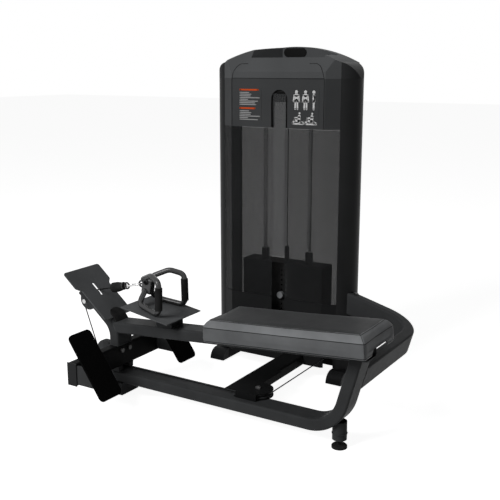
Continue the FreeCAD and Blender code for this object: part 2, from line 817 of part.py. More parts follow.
def crown():
    """Arched top cover with a shallow tray, and a blank oval badge on the tray's back wall."""
    block = crown_solid(0)
    shell = block.cut(crown_solid(crown_shell))
    walls = tray_block(crown_shell).common(block)
    PIECES["crown_cover"] = shell.fuse(walls).cut(tray_block(0)).removeSplitter()

    badge_z = crown_tray_floor + badge_height / 2 + cheek_margin
    half = (badge_width - badge_height) / 2
    back = crown_tray_back
    badge = box(tower_x - half, tower_x + half, back - badge_thick, back,
                badge_z - badge_height / 2, badge_z + badge_height / 2)
    for x in (tower_x - half, tower_x + half):
        badge = badge.fuse(rod(badge_height / 2, V(x, back - badge_thick, badge_z), V(x, back, badge_z)))
    PIECES["crown_badge"] = badge.removeSplitter()


def shrouds():
    """Front and rear covers: kick panel, smoked window, upper panel and rear sheet."""
    def plan(front, corner, flange):
        return [V(inner_left, corner + flange, 0), V(inner_left, corner, 0),
                V(tower_x - shroud_flat_half, front, 0), V(tower_x + shroud_flat_half, front, 0),
                V(inner_right, corner, 0), V(inner_right, corner + flange, 0)]

    front = plan(shroud_front, column_front, shroud_flange)
    rear = plan(shroud_back, column_rear, -rear_flange)[::-1]
    opening_right = opening_left + 2 * opening_half
    opening = box(opening_left, opening_right, shroud_front - 1, column_front, opening_bottom, opening_top)

    kick = folded_sheet(front, shroud_sheet, shroud_bottom, window_bottom - panel_gap)
    gap = box(tower_run_x - cable_gap_half, tower_run_x + cable_gap_half, shroud_front - 1, column_front,
              shroud_bottom, cable_gap_top)
    beam_half_width = tube_wide / 2 + panel_gap
    beam_gap = box(cross_beam_x - beam_half_width, cross_beam_x + beam_half_width,
                   shroud_front - 1, column_front, shroud_bottom, rail_top + panel_gap)
    PIECES["kick_panel"] = kick.cut(opening).cut(gap).cut(beam_gap)

    window = folded_sheet(front, shroud_sheet, window_bottom, window_top)
    PIECES["window_panel"] = window.cut(opening)

    upper = folded_sheet(front, shroud_sheet, window_top + panel_gap, panel_top)
    half = opening_half + recess_margin
    middle = opening_left + opening_half
    recess = box(middle - half, middle + half, shroud_front - 1, column_front, window_top, recess_top - half)
    recess = recess.fuse(rod(half, V(middle, shroud_front - 1, recess_top - half),
                             V(middle, column_front, recess_top - half)))
    PIECES["upper_panel"] = upper.cut(recess)
    PIECES["rear_shroud"] = folded_sheet(rear, shroud_sheet, shroud_bottom, panel_top)

    strip = box(opening_left, opening_right, shroud_front + shroud_sheet,
                shroud_front + shroud_sheet + strip_thick, opening_top, strip_top)
    PIECES["selector_strip"] = strip

    left_edge = middle - half - left_placard_gap
    right_edge = middle + half + right_placard_gap
    PIECES["placards"] = group([
        placard(left_edge - left_placard_width, left_placard_width, left_placard_height),
        placard(right_edge, right_placard_width, right_placard_height)])


def placard(left, width, height):
    """Printed sheet on the upper panel."""
    high = panel_top - placard_drop
    return box(left, left + width, shroud_front - placard_thick, shroud_front, high - height, high)


# ---------------------------------------------------------------- weight stack
def rod_places():
    """Plan positions of the two guide rods."""
    return [V(tower_x + side * rod_spacing / 2, tower_y, 0) for side in (-1, 1)]


def weight_plate(bottom, thick, selectable):
    """One iron plate with rod holes, a stem hole and the pin's hole from the front."""
    plate = box(tower_x - stack_plate_width / 2, tower_x + stack_plate_width / 2,
                stack_front, stack_front + stack_plate_depth, bottom, bottom + thick)
    for place in rod_places():
        low = place + V(0, 0, bottom)
        plate = plate.cut(rod(rod_radius + plate_fit, low, low + V(0, 0, thick)))
    if selectable:
        plate = plate.cut(rod(stem_radius + plate_fit, V(tower_x, tower_y, bottom),
                              V(tower_x, tower_y, bottom + thick)))
        level = bottom + thick / 2
        plate = plate.cut(rod(pin_radius + bore_fit, V(tower_x, stack_front, level),
                              V(tower_x, tower_y, level)))
    return plate


def weight_stack():
    """Guide rods, bumpers, resting plates, lifted plates, top plate, stem and pin."""
    plates = [weight_plate(stack_bottom + i * plate_pitch, plate_pitch, True) for i in range(plate_count)]
    PIECES["resting_weight_plates"] = group(plates[:lower_count])
    PIECES["lifted_weight_plates"] = group(plates[lower_count:])

    top = weight_plate(top_plate_bottom, top_plate_thick, False)
    bushes = []
    for place in rod_places():
        foot = place + V(0, 0, stack_top)
        bush = rod(bush_radius, foot, foot + V(0, 0, bush_height))
        bushes.append(bush.cut(rod(rod_radius + bore_fit, foot, foot + V(0, 0, bush_height))))
    foot = V(tower_x, tower_y, stack_top)
    connector = rod(connector_radius, foot, foot + V(0, 0, connector_height))
    connector = connector.cut(rod(cable_radius, foot + V(0, 0, connector_height / 2),
                                  foot + V(0, 0, connector_height)))
    PIECES["stack_top_plate"] = group([top])
    PIECES["stack_bushes"] = group(bushes + [connector])

    rods = []
    bumpers = []
    for place in rod_places():
        low = place + V(0, 0, shelf_top)
        rods.append(rod(rod_radius, low, place + V(0, 0, top_beam_bottom)))
        bumper = rod(bumper_radius, low, place + V(0, 0, stack_bottom))
        bumpers.append(bumper.cut(rod(rod_radius, low, place + V(0, 0, stack_bottom))))
    PIECES["guide_rods"] = group(rods)
    PIECES["stack_bumpers"] = group(bumpers)

    stem = rod(stem_radius, V(tower_x, tower_y, stack_bottom + plate_fit),
               V(tower_x, tower_y, top_plate_bottom))
    for i in range(plate_count):
        level = stack_bottom + (i + 0.5) * plate_pitch
        stem = stem.cut(rod(pin_radius + bore_fit, V(tower_x, tower_y - 2 * stem_radius, level),
                            V(tower_x, tower_y + 2 * stem_radius, level)))
    PIECES["selector_stem"] = stem

    face = stack_front - touch_gap
    tip = tower_y - stem_radius + pin_grip
    shank = rod(pin_radius, V(tower_x, face, pin_height), V(tower_x, tip, pin_height))
    knob = rod(knob_radius, V(tower_x, face - knob_length, pin_height), V(tower_x, face, pin_height))
    knob = knob.makeFillet(knob_radius / 4, [edge for edge in knob.Edges if edge.Closed])
    PIECES["selector_pin"] = shank.fuse(knob)


# ---------------------------------------------------------------- pulleys and cable
def disc_face(centre, axis, radius):
    """Round face square to an axis."""
    return Part.Face(Part.Wire(Part.makeCircle(radius, centre, axis)))


def plate_face(points):
    """Flat face inside a polygon."""
    return Part.Face(Part.makePolygon(points + [points[0]]))


def pulleys():
    """Six sheaves with their axles and brackets."""
    close = sheave_width / 2 + cheek_gap
    wheels = {"high_front_pulley": (high_pulley, Y_AXIS, sheave_radius, wide_cheek_gap),
              "low_front_pulley": (low_pulley, Y_AXIS, low_radius, wide_cheek_gap),
              "corner_pulley": (corner_pulley, Z_AXIS, corner_radius, close),
              "tower_base_pulley": (base_pulley, X_AXIS, base_radius, close),
              "top_side_pulley": (side_pulley, Y_AXIS, sheave_radius, close),
              "top_centre_pulley": (centre_pulley, Y_AXIS, sheave_radius, close)}
    bolts_through = []
    for name, (centre, axis, radius, near) in wheels.items():
        PIECES[name] = sheave(centre, axis, radius)
        bolts_through.append(axle(centre, axis, near, name != "corner_pulley"))
    PIECES["pulley_axles"] = group(bolts_through)
    PIECES["front_pulley_plates"] = group(high_bracket() + low_bracket())
    PIECES["floor_pulley_brackets"] = group(corner_bracket(close) + base_bracket(close))
    PIECES["top_pulley_plates"] = group(top_hangers(close))


def high_bracket():
    """Two plates that hold the high pulley under the guard plate."""
    start, end = cheek_reach()
    depth = (high_pulley - V(guard_x, 0, guard_z)).dot(guard_out)
    corners = [V(start, 0, depth), V(end, 0, depth), V(end, 0, -guard_thick), V(start, 0, -guard_thick)]
    web = plate_face([guard_frame.multVec(corner) for corner in corners])
    face = web.fuse(disc_face(high_pulley, Y_AXIS, (end - start) / 2)).removeSplitter().Faces[0]
    return bored(cheeks(face, Y_AXIS, wide_cheek_gap), high_pulley, Y_AXIS)


def low_bracket():
    """Two plates that hold the low pulley in front of the front beam."""
    side = low_radius + sheave_rim + cheek_margin
    axle_left = V(low_pulley.x, 0, low_pulley.z - side)
    axle_high = V(low_pulley.x, 0, low_pulley.z + side)
    tab = plate_face([axle_left, V(beam_front, 0, beam_bottom), V(beam_front, 0, beam_top), axle_high])
    face = tab.fuse(disc_face(low_pulley, Y_AXIS, side)).removeSplitter().Faces[0]
    beam = box(beam_front, beam_x, -tube_wide, tube_wide, beam_bottom, beam_top)
    on_rail = box(rail_left_end - tube_wide, beam_x, -tube_wide, tube_wide, 0, rail_top)
    plates = bored(cheeks(face, Y_AXIS, wide_cheek_gap), low_pulley, Y_AXIS)
    return [plate.cut(beam).cut(on_rail) for plate in plates]


def corner_bracket(near):
    """Two level plates round the corner pulley, a web against the rail and a tail on the cross beam."""
    wide = corner_radius + sheave_rim + cheek_margin
    left = corner_pulley.x - wide
    right = corner_pulley.x + wide / 2
    web_y = corner_pulley.y - wide - cheek_margin
    corners = [V(left, corner_pulley.y, cable_height), V(left, web_y, cable_height),
               V(right, web_y, cable_height), V(right, corner_pulley.y, cable_height)]
    face = plate_face(corners).fuse(disc_face(corner_pulley, Z_AXIS, wide)).removeSplitter().Faces[0]
    plates = bored(cheeks(face, Z_AXIS, near), corner_pulley, Z_AXIS)
    low = cable_height - near - cheek_thick
    high = cable_height + near + cheek_thick
    plates.append(box(left, right, web_y - cheek_thick, web_y, low, high))
    tail_left = cross_beam_x + tube_wide / 2 - tail_width / 3
    tail = box(tail_left, tail_left + tail_width, web_y, bracket_tail, low, low + cheek_thick)
    plates[1] = plates[1].fuse(tail).removeSplitter()
    return plates


def base_bracket(near):
    """Two plates that hold the tower's lowest pulley in front of the cross member."""
    side = base_radius + sheave_rim
    axle_low = base_pulley - V(0, 0, side)
    axle_high = base_pulley + V(0, 0, side)
    tab = plate_face([axle_low, V(base_pulley.x, cross_front, axle_low.z),
                      V(base_pulley.x, cross_front, axle_high.z), axle_high])
    face = tab.fuse(disc_face(base_pulley, X_AXIS, side)).removeSplitter().Faces[0]
    return bored(cheeks(face, X_AXIS, near), base_pulley, X_AXIS)


def top_hangers(near):
    """Two long plates on the top beam that hold both top pulleys."""
    side = sheave_radius + sheave_rim + cheek_margin
    left = centre_pulley.x - side
    right = side_pulley.x + side
    high = top_pulley_z + side
    face = plate_face([V(left, tower_y, top_beam_top), V(right, tower_y, top_beam_top),
                       V(right, tower_y, high), V(left, tower_y, high)])
    plates = bored(cheeks(face, Y_AXIS, near), side_pulley, Y_AXIS)
    return bored(plates, centre_pulley, Y_AXIS)


def wrap(centre, start, end):
    """Arc of the cable round a sheave."""
    radius = (start - centre).Length
    middle = centre + ((start - centre) + (end - centre)).normalize() * radius
    return Part.Arc(start, middle, end).toShape()


def outer_tangent(first, first_radius, second, second_radius):
    """Unit normal, on the -X side, of the line that touches two sheaves."""
    apart = first - second
    along = apart * (1 / apart.Length)
    across = V(-along.z, 0, along.x)
    slant = (second_radius - first_radius) / apart.Length
    return along * slant + across * math.sqrt(1 - slant * slant)


def cables():
    """The running cable round all six sheaves, and its two free ends."""
    left = outer_tangent(high_pulley, sheave_radius, low_pulley, low_radius)
    turns = [(centre_pulley, V(-sheave_radius, 0, 0), V(0, 0, sheave_radius)),
             (side_pulley, V(0, 0, sheave_radius), V(sheave_radius, 0, 0)),
             (base_pulley, V(0, base_radius, 0), V(0, 0, -base_radius)),
             (corner_pulley, V(corner_radius, 0, 0), V(0, -corner_radius, 0)),
             (low_pulley, V(0, 0, -low_radius), left * low_radius),
             (high_pulley, left * sheave_radius, pull_normal * sheave_radius)]
    edges = []
    here = None
    for centre, arrive, leave in turns:
        if here is not None:
            edges.append(Part.LineSegment(here, centre + arrive).toShape())
        edges.append(wrap(centre, centre + arrive, centre + leave))
        here = centre + leave
    path = Part.Wire(edges)
    first = centre_pulley + turns[0][1]
    circle = Part.Wire(Part.makeCircle(cable_radius, first, Z_AXIS))
    PIECES["main_cable"] = path.makePipeShell([circle], True, True)
    stack_end = V(tower_x, tower_y, stack_top + connector_height / 2)
    PIECES["stack_cable"] = rod(cable_radius, stack_end, first)
    PIECES["pull_cable"] = rod(cable_radius, pull_from, stopper_at)
    return path.Length + (first.z - stack_end.z) + pull_start


# ---------------------------------------------------------------- handle
def pull_end():
    """Stopper, swivel eye and spring clip on the cable's end."""
    tip = stopper_at + pull_dir * stopper_length
    round_part = stopper_length * 0.45
    middle = stopper_at + pull_dir * round_part
    barrel = rod(stopper_radius, stopper_at, middle)
    rim = [edge for edge in barrel.Edges if edge.Closed and (edge.CenterOfMass - stopper_at).Length < 1]
    barrel = barrel.makeFillet(stopper_radius / 3, rim)
    taper = Part.makeCone(stopper_radius, stopper_tip, stopper_length - round_part, middle, pull_dir)
    PIECES["cable_stopper"] = barrel.fuse(taper)
    body = rod(stopper_tip, stopper_at, tip)
    eye = Part.makeTorus(eye_radius, link_wire, eye_at, Y_AXIS)
    eye = eye.cut(body)
    PIECES["swivel_eye"] = max(eye.Solids, key=lambda solid: solid.Volume)

    wide = Y_AXIS * clip_half
    start = clip_from + pull_dir * clip_half
    end = clip_to - pull_dir * clip_half
    edges = [Part.LineSegment(start + wide, end + wide).toShape(),
             Part.Arc(end + wide, clip_to, end - wide).toShape(),
             Part.LineSegment(end - wide, start - wide).toShape(),
             Part.Arc(start - wide, clip_from, start + wide).toShape()]
    sides = [rod(link_wire, start + wide, end + wide), rod(link_wire, start - wide, end - wide)]
    ends = []
    for edge in (edges[1], edges[3]):
        wire = Part.Wire([edge])
        begin = wire.Vertexes[0].Point
        circle = Part.Wire(Part.makeCircle(link_wire, begin, pull_dir))
        ends.append(wire.makePipeShell([circle], True, True))
    clip = sides[0].fuse([sides[1]] + ends)
    PIECES["carabiner"] = clip.removeSplitter()


def handle_loop(side):
    """One loop of bent bar beside the block, and the grip sleeve on its far side."""
    low = V(grip_reach, side * grip_side, loop_bottom)
    high = V(grip_reach - grip_lean, side * (grip_side - grip_toe), loop_top)
    points = [V(0, side * root_side, root_high), V(-root_back, side * shoulder_side, shoulder_high),
              V(crest_reach, side * loop_side, loop_crest), high, low,
              V(return_reach, side * loop_side, loop_bottom),
              V(-root_back / 2, side * root_side, -root_high)]
    bar = round_bar(points, loop_bends, bar_radius)
    along = (high - low).normalize()
    middle = (low + high) / 2
    start = middle - along * (grip_length / 2)
    end = middle + along * (grip_length / 2)
    grip = rod(grip_radius, start, end)
    inward = (X_AXIS - along * X_AXIS.dot(along)).normalize() * -1
    across = along.cross(inward).normalize() * (2 * grip_radius)
    pitch = grip_length / (groove_count + 1)
    for i in range(groove_count):
        level = start + along * ((i + 1) * pitch)
        bite = level + inward * (grip_radius + groove_radius - groove_depth)
        grip = grip.cut(rod(groove_radius, bite - across, bite + across))
    grip = max(grip.cut(bar).Solids, key=lambda solid: solid.Volume)
    return placed(bar, block_frame), placed(grip, block_frame)


def row_handle():
    """Close-grip handle: centre block with an eye, and two loops that spread from it."""
    block = box(-block_length / 2, block_length / 2, -block_width / 2, block_width / 2,
                -block_height / 2, block_height / 2)
    block = placed(block.makeFillet(link_wire, block.Edges), block_frame)
    eye = Part.makeTorus(eye_radius, link_wire, handle_eye, Y_AXIS)
    beyond = box(-block_length / 2, block_length, -tube_wide, tube_wide, -tube_wide, tube_wide)
    eye = eye.cut(placed(beyond, block_frame))
    bars = []
    grips = []
    for side in (1, -1):
        bar, grip = handle_loop(side)
        bars.append(bar)
        grips.append(grip)
    frame = block.fuse(bars + [eye])
    PIECES["row_handle_frame"] = frame
    PIECES["row_handle_grips"] = group(grips)


# ---------------------------------------------------------------- small hardware
def end_caps():
    """Plastic plugs of the open tube ends and the rounded noses of the tower's feet."""
    thick = 4.0
    caps = []
    for side in (1, -1):
        near, far = sorted((side * beam_half, side * (beam_half + thick)))
        caps.append(box(beam_front, beam_x, near, far, beam_bottom, beam_top))
        middle = tower_foot_x(side)
        half = tower_foot_width / 2
        for y, way in ((tower_foot_front, -1), (tower_foot_back, 1)):
            nose = rod(tower_foot_height - foot_rubber, V(middle - half, y, foot_rubber),
                       V(middle + half, y, foot_rubber))
            low, high = sorted((y, y + way * tower_foot_height))
            keep = box(middle - half, middle + half, low, high, foot_rubber, tower_foot_height)
            caps.append(nose.common(keep))
    half = tube_wide / 2
    caps.append(box(rail_left_end - thick, rail_left_end, -half, half, rail_bottom, rail_top))
    PIECES["end_caps"] = group(caps)

    pads = []
    foot_mid = rail_foot_x - tube_thick / 2
    radius = tube_thick / 3
    for side in (1, -1):
        y = side * (rail_foot_half - tube_thick / 2)
        pads.append(rod(radius, V(foot_mid, y, 0), V(foot_mid, y, foot_rubber)))
        middle = tower_foot_x(side)
        for y in (tower_foot_front + radius, tower_foot_back - radius):
            pads.append(rod(radius, V(middle, y, 0), V(middle, y, foot_rubber)))
    PIECES["rubber_feet"] = group(pads)


def bolts():
    """Visible hexagon bolt heads on the frame's joints."""
    heads = []
    for side in (1, -1):
        heads.append(hex_prism(V(beam_x, side * tube_wide / 4, beam_bottom + tube_wide * 0.75), X_AXIS,
                               head_across, head_height))
    along = (sweep_on_axis.x - sweep_bolt_x) / upright_dir.z
    on_sweep = sweep_on_axis + Y_AXIS * sweep_y + sweep_back * along
    heads.append(hex_prism(on_sweep, upright_dir, head_across, head_height))
    for step in (0.35, 0.65):
        place = seat_frame.multVec(V(seat_start + seat_length * step, -tube_wide / 2, -tube_thick / 2))
        heads.append(hex_prism(place, Y_AXIS * -1, head_across, head_height))
    PIECES["frame_bolts"] = group(heads)


def build():
    """Make every piece and return the cable's length."""
    bench_frame()
    guard_plate()
    foot_plates()
    tray()
    seat()
    tower_frame()
    crown()
    shrouds()
    weight_stack()
    pulleys()
    length = cables()
    pull_end()
    row_handle()
    end_caps()
    bolts()
    return length


cable_length = build()
bounds = FreeCAD.BoundBox()
for piece in PIECES.values():
    bounds.add(piece.BoundBox)
shift = V(-(bounds.XMin + bounds.XMax) / 2, -(bounds.YMin + bounds.YMax) / 2, 0)

os.makedirs("parts", exist_ok=True)
for name, piece in PIECES.items():
    moved = piece.copy()
    moved.translate(shift)
    moved.exportStep("parts/" + name + ".step")
print("pieces", len(PIECES), "shift", shift, "cable length", round(cable_length))
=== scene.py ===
"""Looks of the seated long-pull machine: materials, cushion, cables, small trim, camera and light."""
import math

import bmesh
import bpy
from mathutils import Matrix, Vector
from mathutils.bvhtree import BVHTree


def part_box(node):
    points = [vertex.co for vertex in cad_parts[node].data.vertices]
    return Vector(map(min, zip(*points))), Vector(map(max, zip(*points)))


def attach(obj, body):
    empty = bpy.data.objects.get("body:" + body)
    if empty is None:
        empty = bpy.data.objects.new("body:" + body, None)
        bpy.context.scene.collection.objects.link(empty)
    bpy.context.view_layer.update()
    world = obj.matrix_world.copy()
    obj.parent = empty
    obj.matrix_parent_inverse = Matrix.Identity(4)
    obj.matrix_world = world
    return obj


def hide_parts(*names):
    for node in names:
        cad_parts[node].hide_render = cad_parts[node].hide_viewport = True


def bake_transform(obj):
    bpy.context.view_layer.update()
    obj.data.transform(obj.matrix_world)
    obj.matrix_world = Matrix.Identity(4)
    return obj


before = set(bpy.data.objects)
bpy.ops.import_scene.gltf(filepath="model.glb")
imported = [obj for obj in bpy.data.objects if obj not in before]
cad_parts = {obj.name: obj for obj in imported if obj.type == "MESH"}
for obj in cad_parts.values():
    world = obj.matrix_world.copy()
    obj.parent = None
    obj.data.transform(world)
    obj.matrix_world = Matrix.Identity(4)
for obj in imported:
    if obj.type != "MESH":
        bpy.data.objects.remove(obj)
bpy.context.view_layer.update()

# ---------------------------------------------------------------- camera and light
CAMERA_AT = (1.8435, -2.945, 1.450)
CAMERA_TURN = (77.4, 0.0, 31.7)      # degrees
CAMERA_LENS = 59.04                  # mm
SENSOR_WIDTH = 36.0                  # mm
LAMPS = (                            # name, place, W, size
    ("key", (-1.3, -4.3, 3.8), 175.0, 2.4),
    ("top", (0.5, -0.5, 4.2), 8.0, 3.0),
)
LAMP_AIM = (0.0, 0.0, 0.6)
AMBIENT = 0.04                       # the world's light on the object
FLOOR_HALF = 30.0
FLOOR_DROP = 0.0005                  # below the object's feet
FLOOR_PAINT = (0.8, 0.8, 0.8, 1)
FLOOR_GLOW = 0.92                    # added where the camera or a reflection sees the floor

# ---------------------------------------------------------------- sizes the looks need
BENCH_Y = -0.245
RAIL_BOTTOM = 0.061
LEG_RADIUS = 0.029
SEAT_SLOPE = math.radians(4.48)
SEAT_LENGTH = 0.702
SEAT_WIDTH = 0.270
SEAT_SIDE = 0.040                    # height of the cushion's upright side
SEAT_TOP = 0.066
SEAT_BEVEL = 0.026                   # width of the sloping band round the top
SEAT_CORNER = 0.010
CORNER_SHRINK = 0.3                  # of a ring's inset, off its corner radius
CORNER_LEAST = 0.002
CORNER_STEPS = 5
SEAT_SWELL = 0.005                   # how far the filled cover stands out from its solid
SEAT_WRAP = 0.024                    # how far the cover reaches down past the board's edge
WRAP_THICK = 0.010
RAIL_SHARE = 0.45                    # of the cushion's half width, over the rail
RAIL_EASE = 0.12                     # of the half width, in which the cover comes down beside it
PILLOW = 0.0035                      # how far the cushion's top crowns
PILLOW_DROP = 0.002                  # of the top's outer ring, below SEAT_TOP
VOXEL = 0.005
CLOTH_STEPS = 20
CLOTH_PRESSURE = 4.0
CLOTH_QUALITY = 5
CLOTH_CAP = 0.004                    # how far the pressure may move a point
WELT_RADIUS = 0.0013
WELT_PITCH = 0.012
WELT_SIDES = 8
CORNER_WELT = 0.7                    # of the other welts' radius
CORNER_PARTS = 6
CORNER_FOOT = 0.004                  # of the corner welts, above the cover's lower edge
CORNER_LAP = 0.002                   # of their inner ends, past the bevel
STITCH_PITCH = 0.009
STITCH_SHARE = 0.45                  # of the pitch, covered by thread
STITCH_RADIUS = 0.0004
THREAD_PITCH = 0.010
THREAD_SIDES = 6
BEAD_RADIUS = 0.0026                 # weld beads
BEAD_PITCH = 0.0035
BEAD_RIPPLE = 0.22                   # of the bead's radius
BEAD_TURN = 2.1                      # radians of ripple from ring to ring
BEAD_SIDES = 6
BEAD_LIFT = 0.001                    # of the leg's bead, above the rail's underside
COLUMN_ROUND = 0.009
SADDLE_IN = 0.022                    # of the spacers' saddles, from the bench's middle
SADDLE_OUT = 0.050
SADDLE_ROUND = 0.002
CIRCLE_SIDES = 28
CABLE_RADIUS = 0.0025
CABLE_SIDES = 12
CABLE_PARTS = 40
PULL_RISE = math.radians(14.0)
STOPPER_BASE = 0.0225                # radius of its thick end
STOPPER_TIP = 0.015
COLLAR_BACK = 0.006
COLLAR_RADIUS = 0.0032
COLLAR_SIDES = 8
HEADER_RISE = 0.029                  # of the crown's upright band
CROWN_LEAN = 0.398                   # of its face above that band, back for each metre up
FRAME_HALF = 0.240                   # half the width of the border round the upper panel
BORDER_ROUND = 0.050
BORDER_OVER = 0.036                  # how far the border runs up the leaning face
BORDER_END = 0.160                   # of its inner ends, from the tower's middle
BORDER_STEPS = 12
LINE_RADIUS = 0.0016
LINE_SIDES = 8
SLOT_MARGIN = 0.004                  # how far the slot's cutter overlaps the window
SURROUND_WIDE = 0.012                # from the strip's edge outwards
SURROUND_LAP = 0.004                 # behind the strip
SURROUND_DEEP = 0.006
SURROUND_RISE = 0.020
SURROUND_ROUND = 0.0008
PRINT_LIFT = 0.0004                  # of print above its sheet
TITLES = ((0.000, 8, 0.098), (0.084, 6, 0.080))   # drop from the top, lines below, length
TITLE_SIDE = 0.018
TITLE_DROP = 0.006
TITLE_THICK = 0.0075
TEXT_SIDE = 0.017
TEXT_DROP = 0.0185
TEXT_PITCH = 0.0078
TEXT_THICK = 0.0044
TEXT_REACH = (0.066, 0.078, 0.074, 0.124, 0.060, 0.114, 0.098, 0.104)
PIN_X = -0.0390
PLATE_PITCH = 0.024
WEIGHT_STEP = 5
NUMBER_SIZE = 0.011
NUMBER_SIDE = 0.026                  # from the pin's line to the numbers
NUMBER_LIFT = 0.0003                 # of the figures above their tag
TAG_HALF = (0.011, 0.0002, 0.007)
SKEW = Vector((0.31, 0.23, 0.92))    # a direction that no tube or bead follows

# Rings of the cushion's cover, inset and height: from its underside round the skirt and up to the bevel.
COVER_RINGS = (
    (WRAP_THICK + 0.010, 0.0),
    (WRAP_THICK, 0.0),
    (WRAP_THICK - 0.001, 0.003 - SEAT_WRAP),
    (0.006, -SEAT_WRAP),
    (0.003, 0.002 - SEAT_WRAP),
    (0.002, 0.008 - SEAT_WRAP),
    (0.001, 0.0),
    (0.001, 0.022),
    (0.002, SEAT_SIDE - 0.002),
    (0.004, SEAT_SIDE),
    (0.015, SEAT_SIDE + 0.0145),
    (SEAT_BEVEL, SEAT_TOP - 0.003),
)
# Rings of its top: inset and share of the crown.
TOP_RINGS = ((0.032, 0.0), (0.045, 0.25), (0.065, 0.55), (0.090, 0.85), (0.115, 0.98), (0.130, 1.0))
# Welts and rows of thread round it: inset and height.
WELTS = ((0.001, 0.008 - SEAT_WRAP), (0.001, SEAT_SIDE), (SEAT_BEVEL + 0.001, SEAT_TOP))
THREADS = ((0.0, SEAT_SIDE - 0.0045), (SEAT_BEVEL + 0.006, SEAT_TOP), (0.0, 0.013 - SEAT_WRAP))


# ---------------------------------------------------------------- node helpers
def grey(level, tint=(1.0, 1.0, 1.0)):
    """Linear colour of a screen grey from 0 to 255, with a slight tint."""
    share = level / 255
    linear = share / 12.92 if share < 0.04045 else ((share + 0.055) / 1.055) ** 2.4
    return tuple(linear * part for part in tint) + (1.0,)


COOL = (0.97, 1.0, 1.03)             # tint of the greys
EDGE_WEAR_AND_HIGHLIGHT_RADIUS = 0.0015                 # round an edge, where paint wears and where a painted edge highlight is laid


def material(name, colour, roughness, metallic=0.0, specular=0.5, alpha=1.0):
    """Principled material with its plain values on its own sockets."""
    made = bpy.data.materials.new(name)
    made.use_nodes = True
    shader = made.node_tree.nodes["Principled BSDF"]
    shader.inputs["Base Color"].default_value = colour
    shader.inputs["Roughness"].default_value = roughness
    shader.inputs["Metallic"].default_value = metallic
    shader.inputs["Specular IOR Level"].default_value = specular
    shader.inputs["Alpha"].default_value = alpha
    made.diffuse_color = colour
    return made, made.node_tree, shader


def node(tree, kind, **values):
    """New node with its properties and numbered or named inputs set."""
    made = tree.nodes.new(kind)
    for key, value in values.items():
        if hasattr(made, key):
            setattr(made, key, value)
        else:
            made.inputs[key.replace("_", " ")].default_value = value
    return made


def place(tree, stretch=(1.0, 1.0, 1.0)):
    """Object coordinates, stretched."""
    where = tree.nodes.new("ShaderNodeTexCoord")
    mapping = tree.nodes.new("ShaderNodeMapping")
    mapping.inputs["Scale"].default_value = stretch
    tree.links.new(where.outputs["Object"], mapping.inputs["Vector"])
    return mapping.outputs["Vector"]


def noise(tree, scale, detail=4.0, stretch=(1.0, 1.0, 1.0)):
    """Noise value in object space."""
    made = node(tree, "ShaderNodeTexNoise", Scale=scale, Detail=detail)
    tree.links.new(place(tree, stretch), made.inputs["Vector"])
    return made.outputs["Fac"]


def ramp(tree, value, stops):
    """Colour ramp on a value."""
    made = tree.nodes.new("ShaderNodeValToRGB")
    band = made.color_ramp
    band.elements[0].position, band.elements[0].color = stops[0]
    band.elements[1].position, band.elements[1].color = stops[-1]
    for position, colour in stops[1:-1]:
        band.elements.new(position).color = colour
    tree.links.new(value, made.inputs["Fac"])
    return made.outputs["Color"]


def span(tree, value, low, high):
    """Value from 0..1 mapped onto low..high."""
    made = tree.nodes.new("ShaderNodeMapRange")
    made.inputs["To Min"].default_value = low
    made.inputs["To Max"].default_value = high
    tree.links.new(value, made.inputs["Value"])
    return made.outputs["Result"]


def bump(tree, shader, height, strength, distance):
    """Bump from a height on the shader, on top of any bump already there."""
    made = node(tree, "ShaderNodeBump", Strength=strength, Distance=distance)
    earlier = shader.inputs["Normal"].links
    if earlier:
        tree.links.new(earlier[0].from_socket, made.inputs["Normal"])
    tree.links.new(height, made.inputs["Height"])
    tree.links.new(made.outputs["Normal"], shader.inputs["Normal"])


def edge_wear_and_highlight(tree, colour, worn_and_lit):
    """Lighter colour where an edge is sharp, broken up by noise: partly paint wear, partly a painted
    highlight standing in for lamp glints on the edges.
    """
    bevel = tree.nodes.new("ShaderNodeBevel")
    bevel.inputs["Radius"].default_value = EDGE_WEAR_AND_HIGHLIGHT_RADIUS
    geometry = tree.nodes.new("ShaderNodeNewGeometry")
    dot = tree.nodes.new("ShaderNodeVectorMath")
    dot.operation = "DOT_PRODUCT"
    tree.links.new(bevel.outputs["Normal"], dot.inputs[0])
    tree.links.new(geometry.outputs["Normal"], dot.inputs[1])
    sharp = ramp(tree, dot.outputs["Value"], [(0.80, (1, 1, 1, 1)), (0.99, (0, 0, 0, 1))])
    patches = ramp(tree, noise(tree, 60.0), [(0.45, (0, 0, 0, 1)), (0.70, (0.8, 0.8, 0.8, 1))])
    both = tree.nodes.new("ShaderNodeMix")
    both.data_type = "RGBA"
    both.blend_type = "MULTIPLY"
    both.inputs["Factor"].default_value = 1.0
    tree.links.new(sharp, both.inputs["A"])
    tree.links.new(patches, both.inputs["B"])
    mix = tree.nodes.new("ShaderNodeMix")
    mix.data_type = "RGBA"
    tree.links.new(both.outputs["Result"], mix.inputs["Factor"])
    tree.links.new(colour, mix.inputs["A"])
    mix.inputs["B"].default_value = worn_and_lit
    return mix.outputs["Result"]


# ---------------------------------------------------------------- materials
def powder_coat(name, level, roughness, grain=420.0, specular=0.02):
    """Satin powder coat: orange-peel bump, faint cloudiness and lighter edges that are partly wear and
    partly a painted highlight.
    """
    made, tree, shader = material(name, grey(level, COOL), roughness, specular=specular)
    stops = [(0.30, grey(level * 0.93, COOL)), (0.70, grey(level * 1.07, COOL))]
    # Lighter edges: paint wear together with a painted highlight in place of lamp glints.
    worn_and_lit = edge_wear_and_highlight(tree, ramp(tree, noise(tree, 7.0), stops), grey(level * 1.6, COOL))
    tree.links.new(worn_and_lit, shader.inputs["Base Color"])
    satin = span(tree, noise(tree, 35.0), roughness - 0.05, roughness + 0.06)
    tree.links.new(satin, shader.inputs["Roughness"])
    bump(tree, shader, noise(tree, grain, 3.0), strength=0.18, distance=0.0006)
    return made


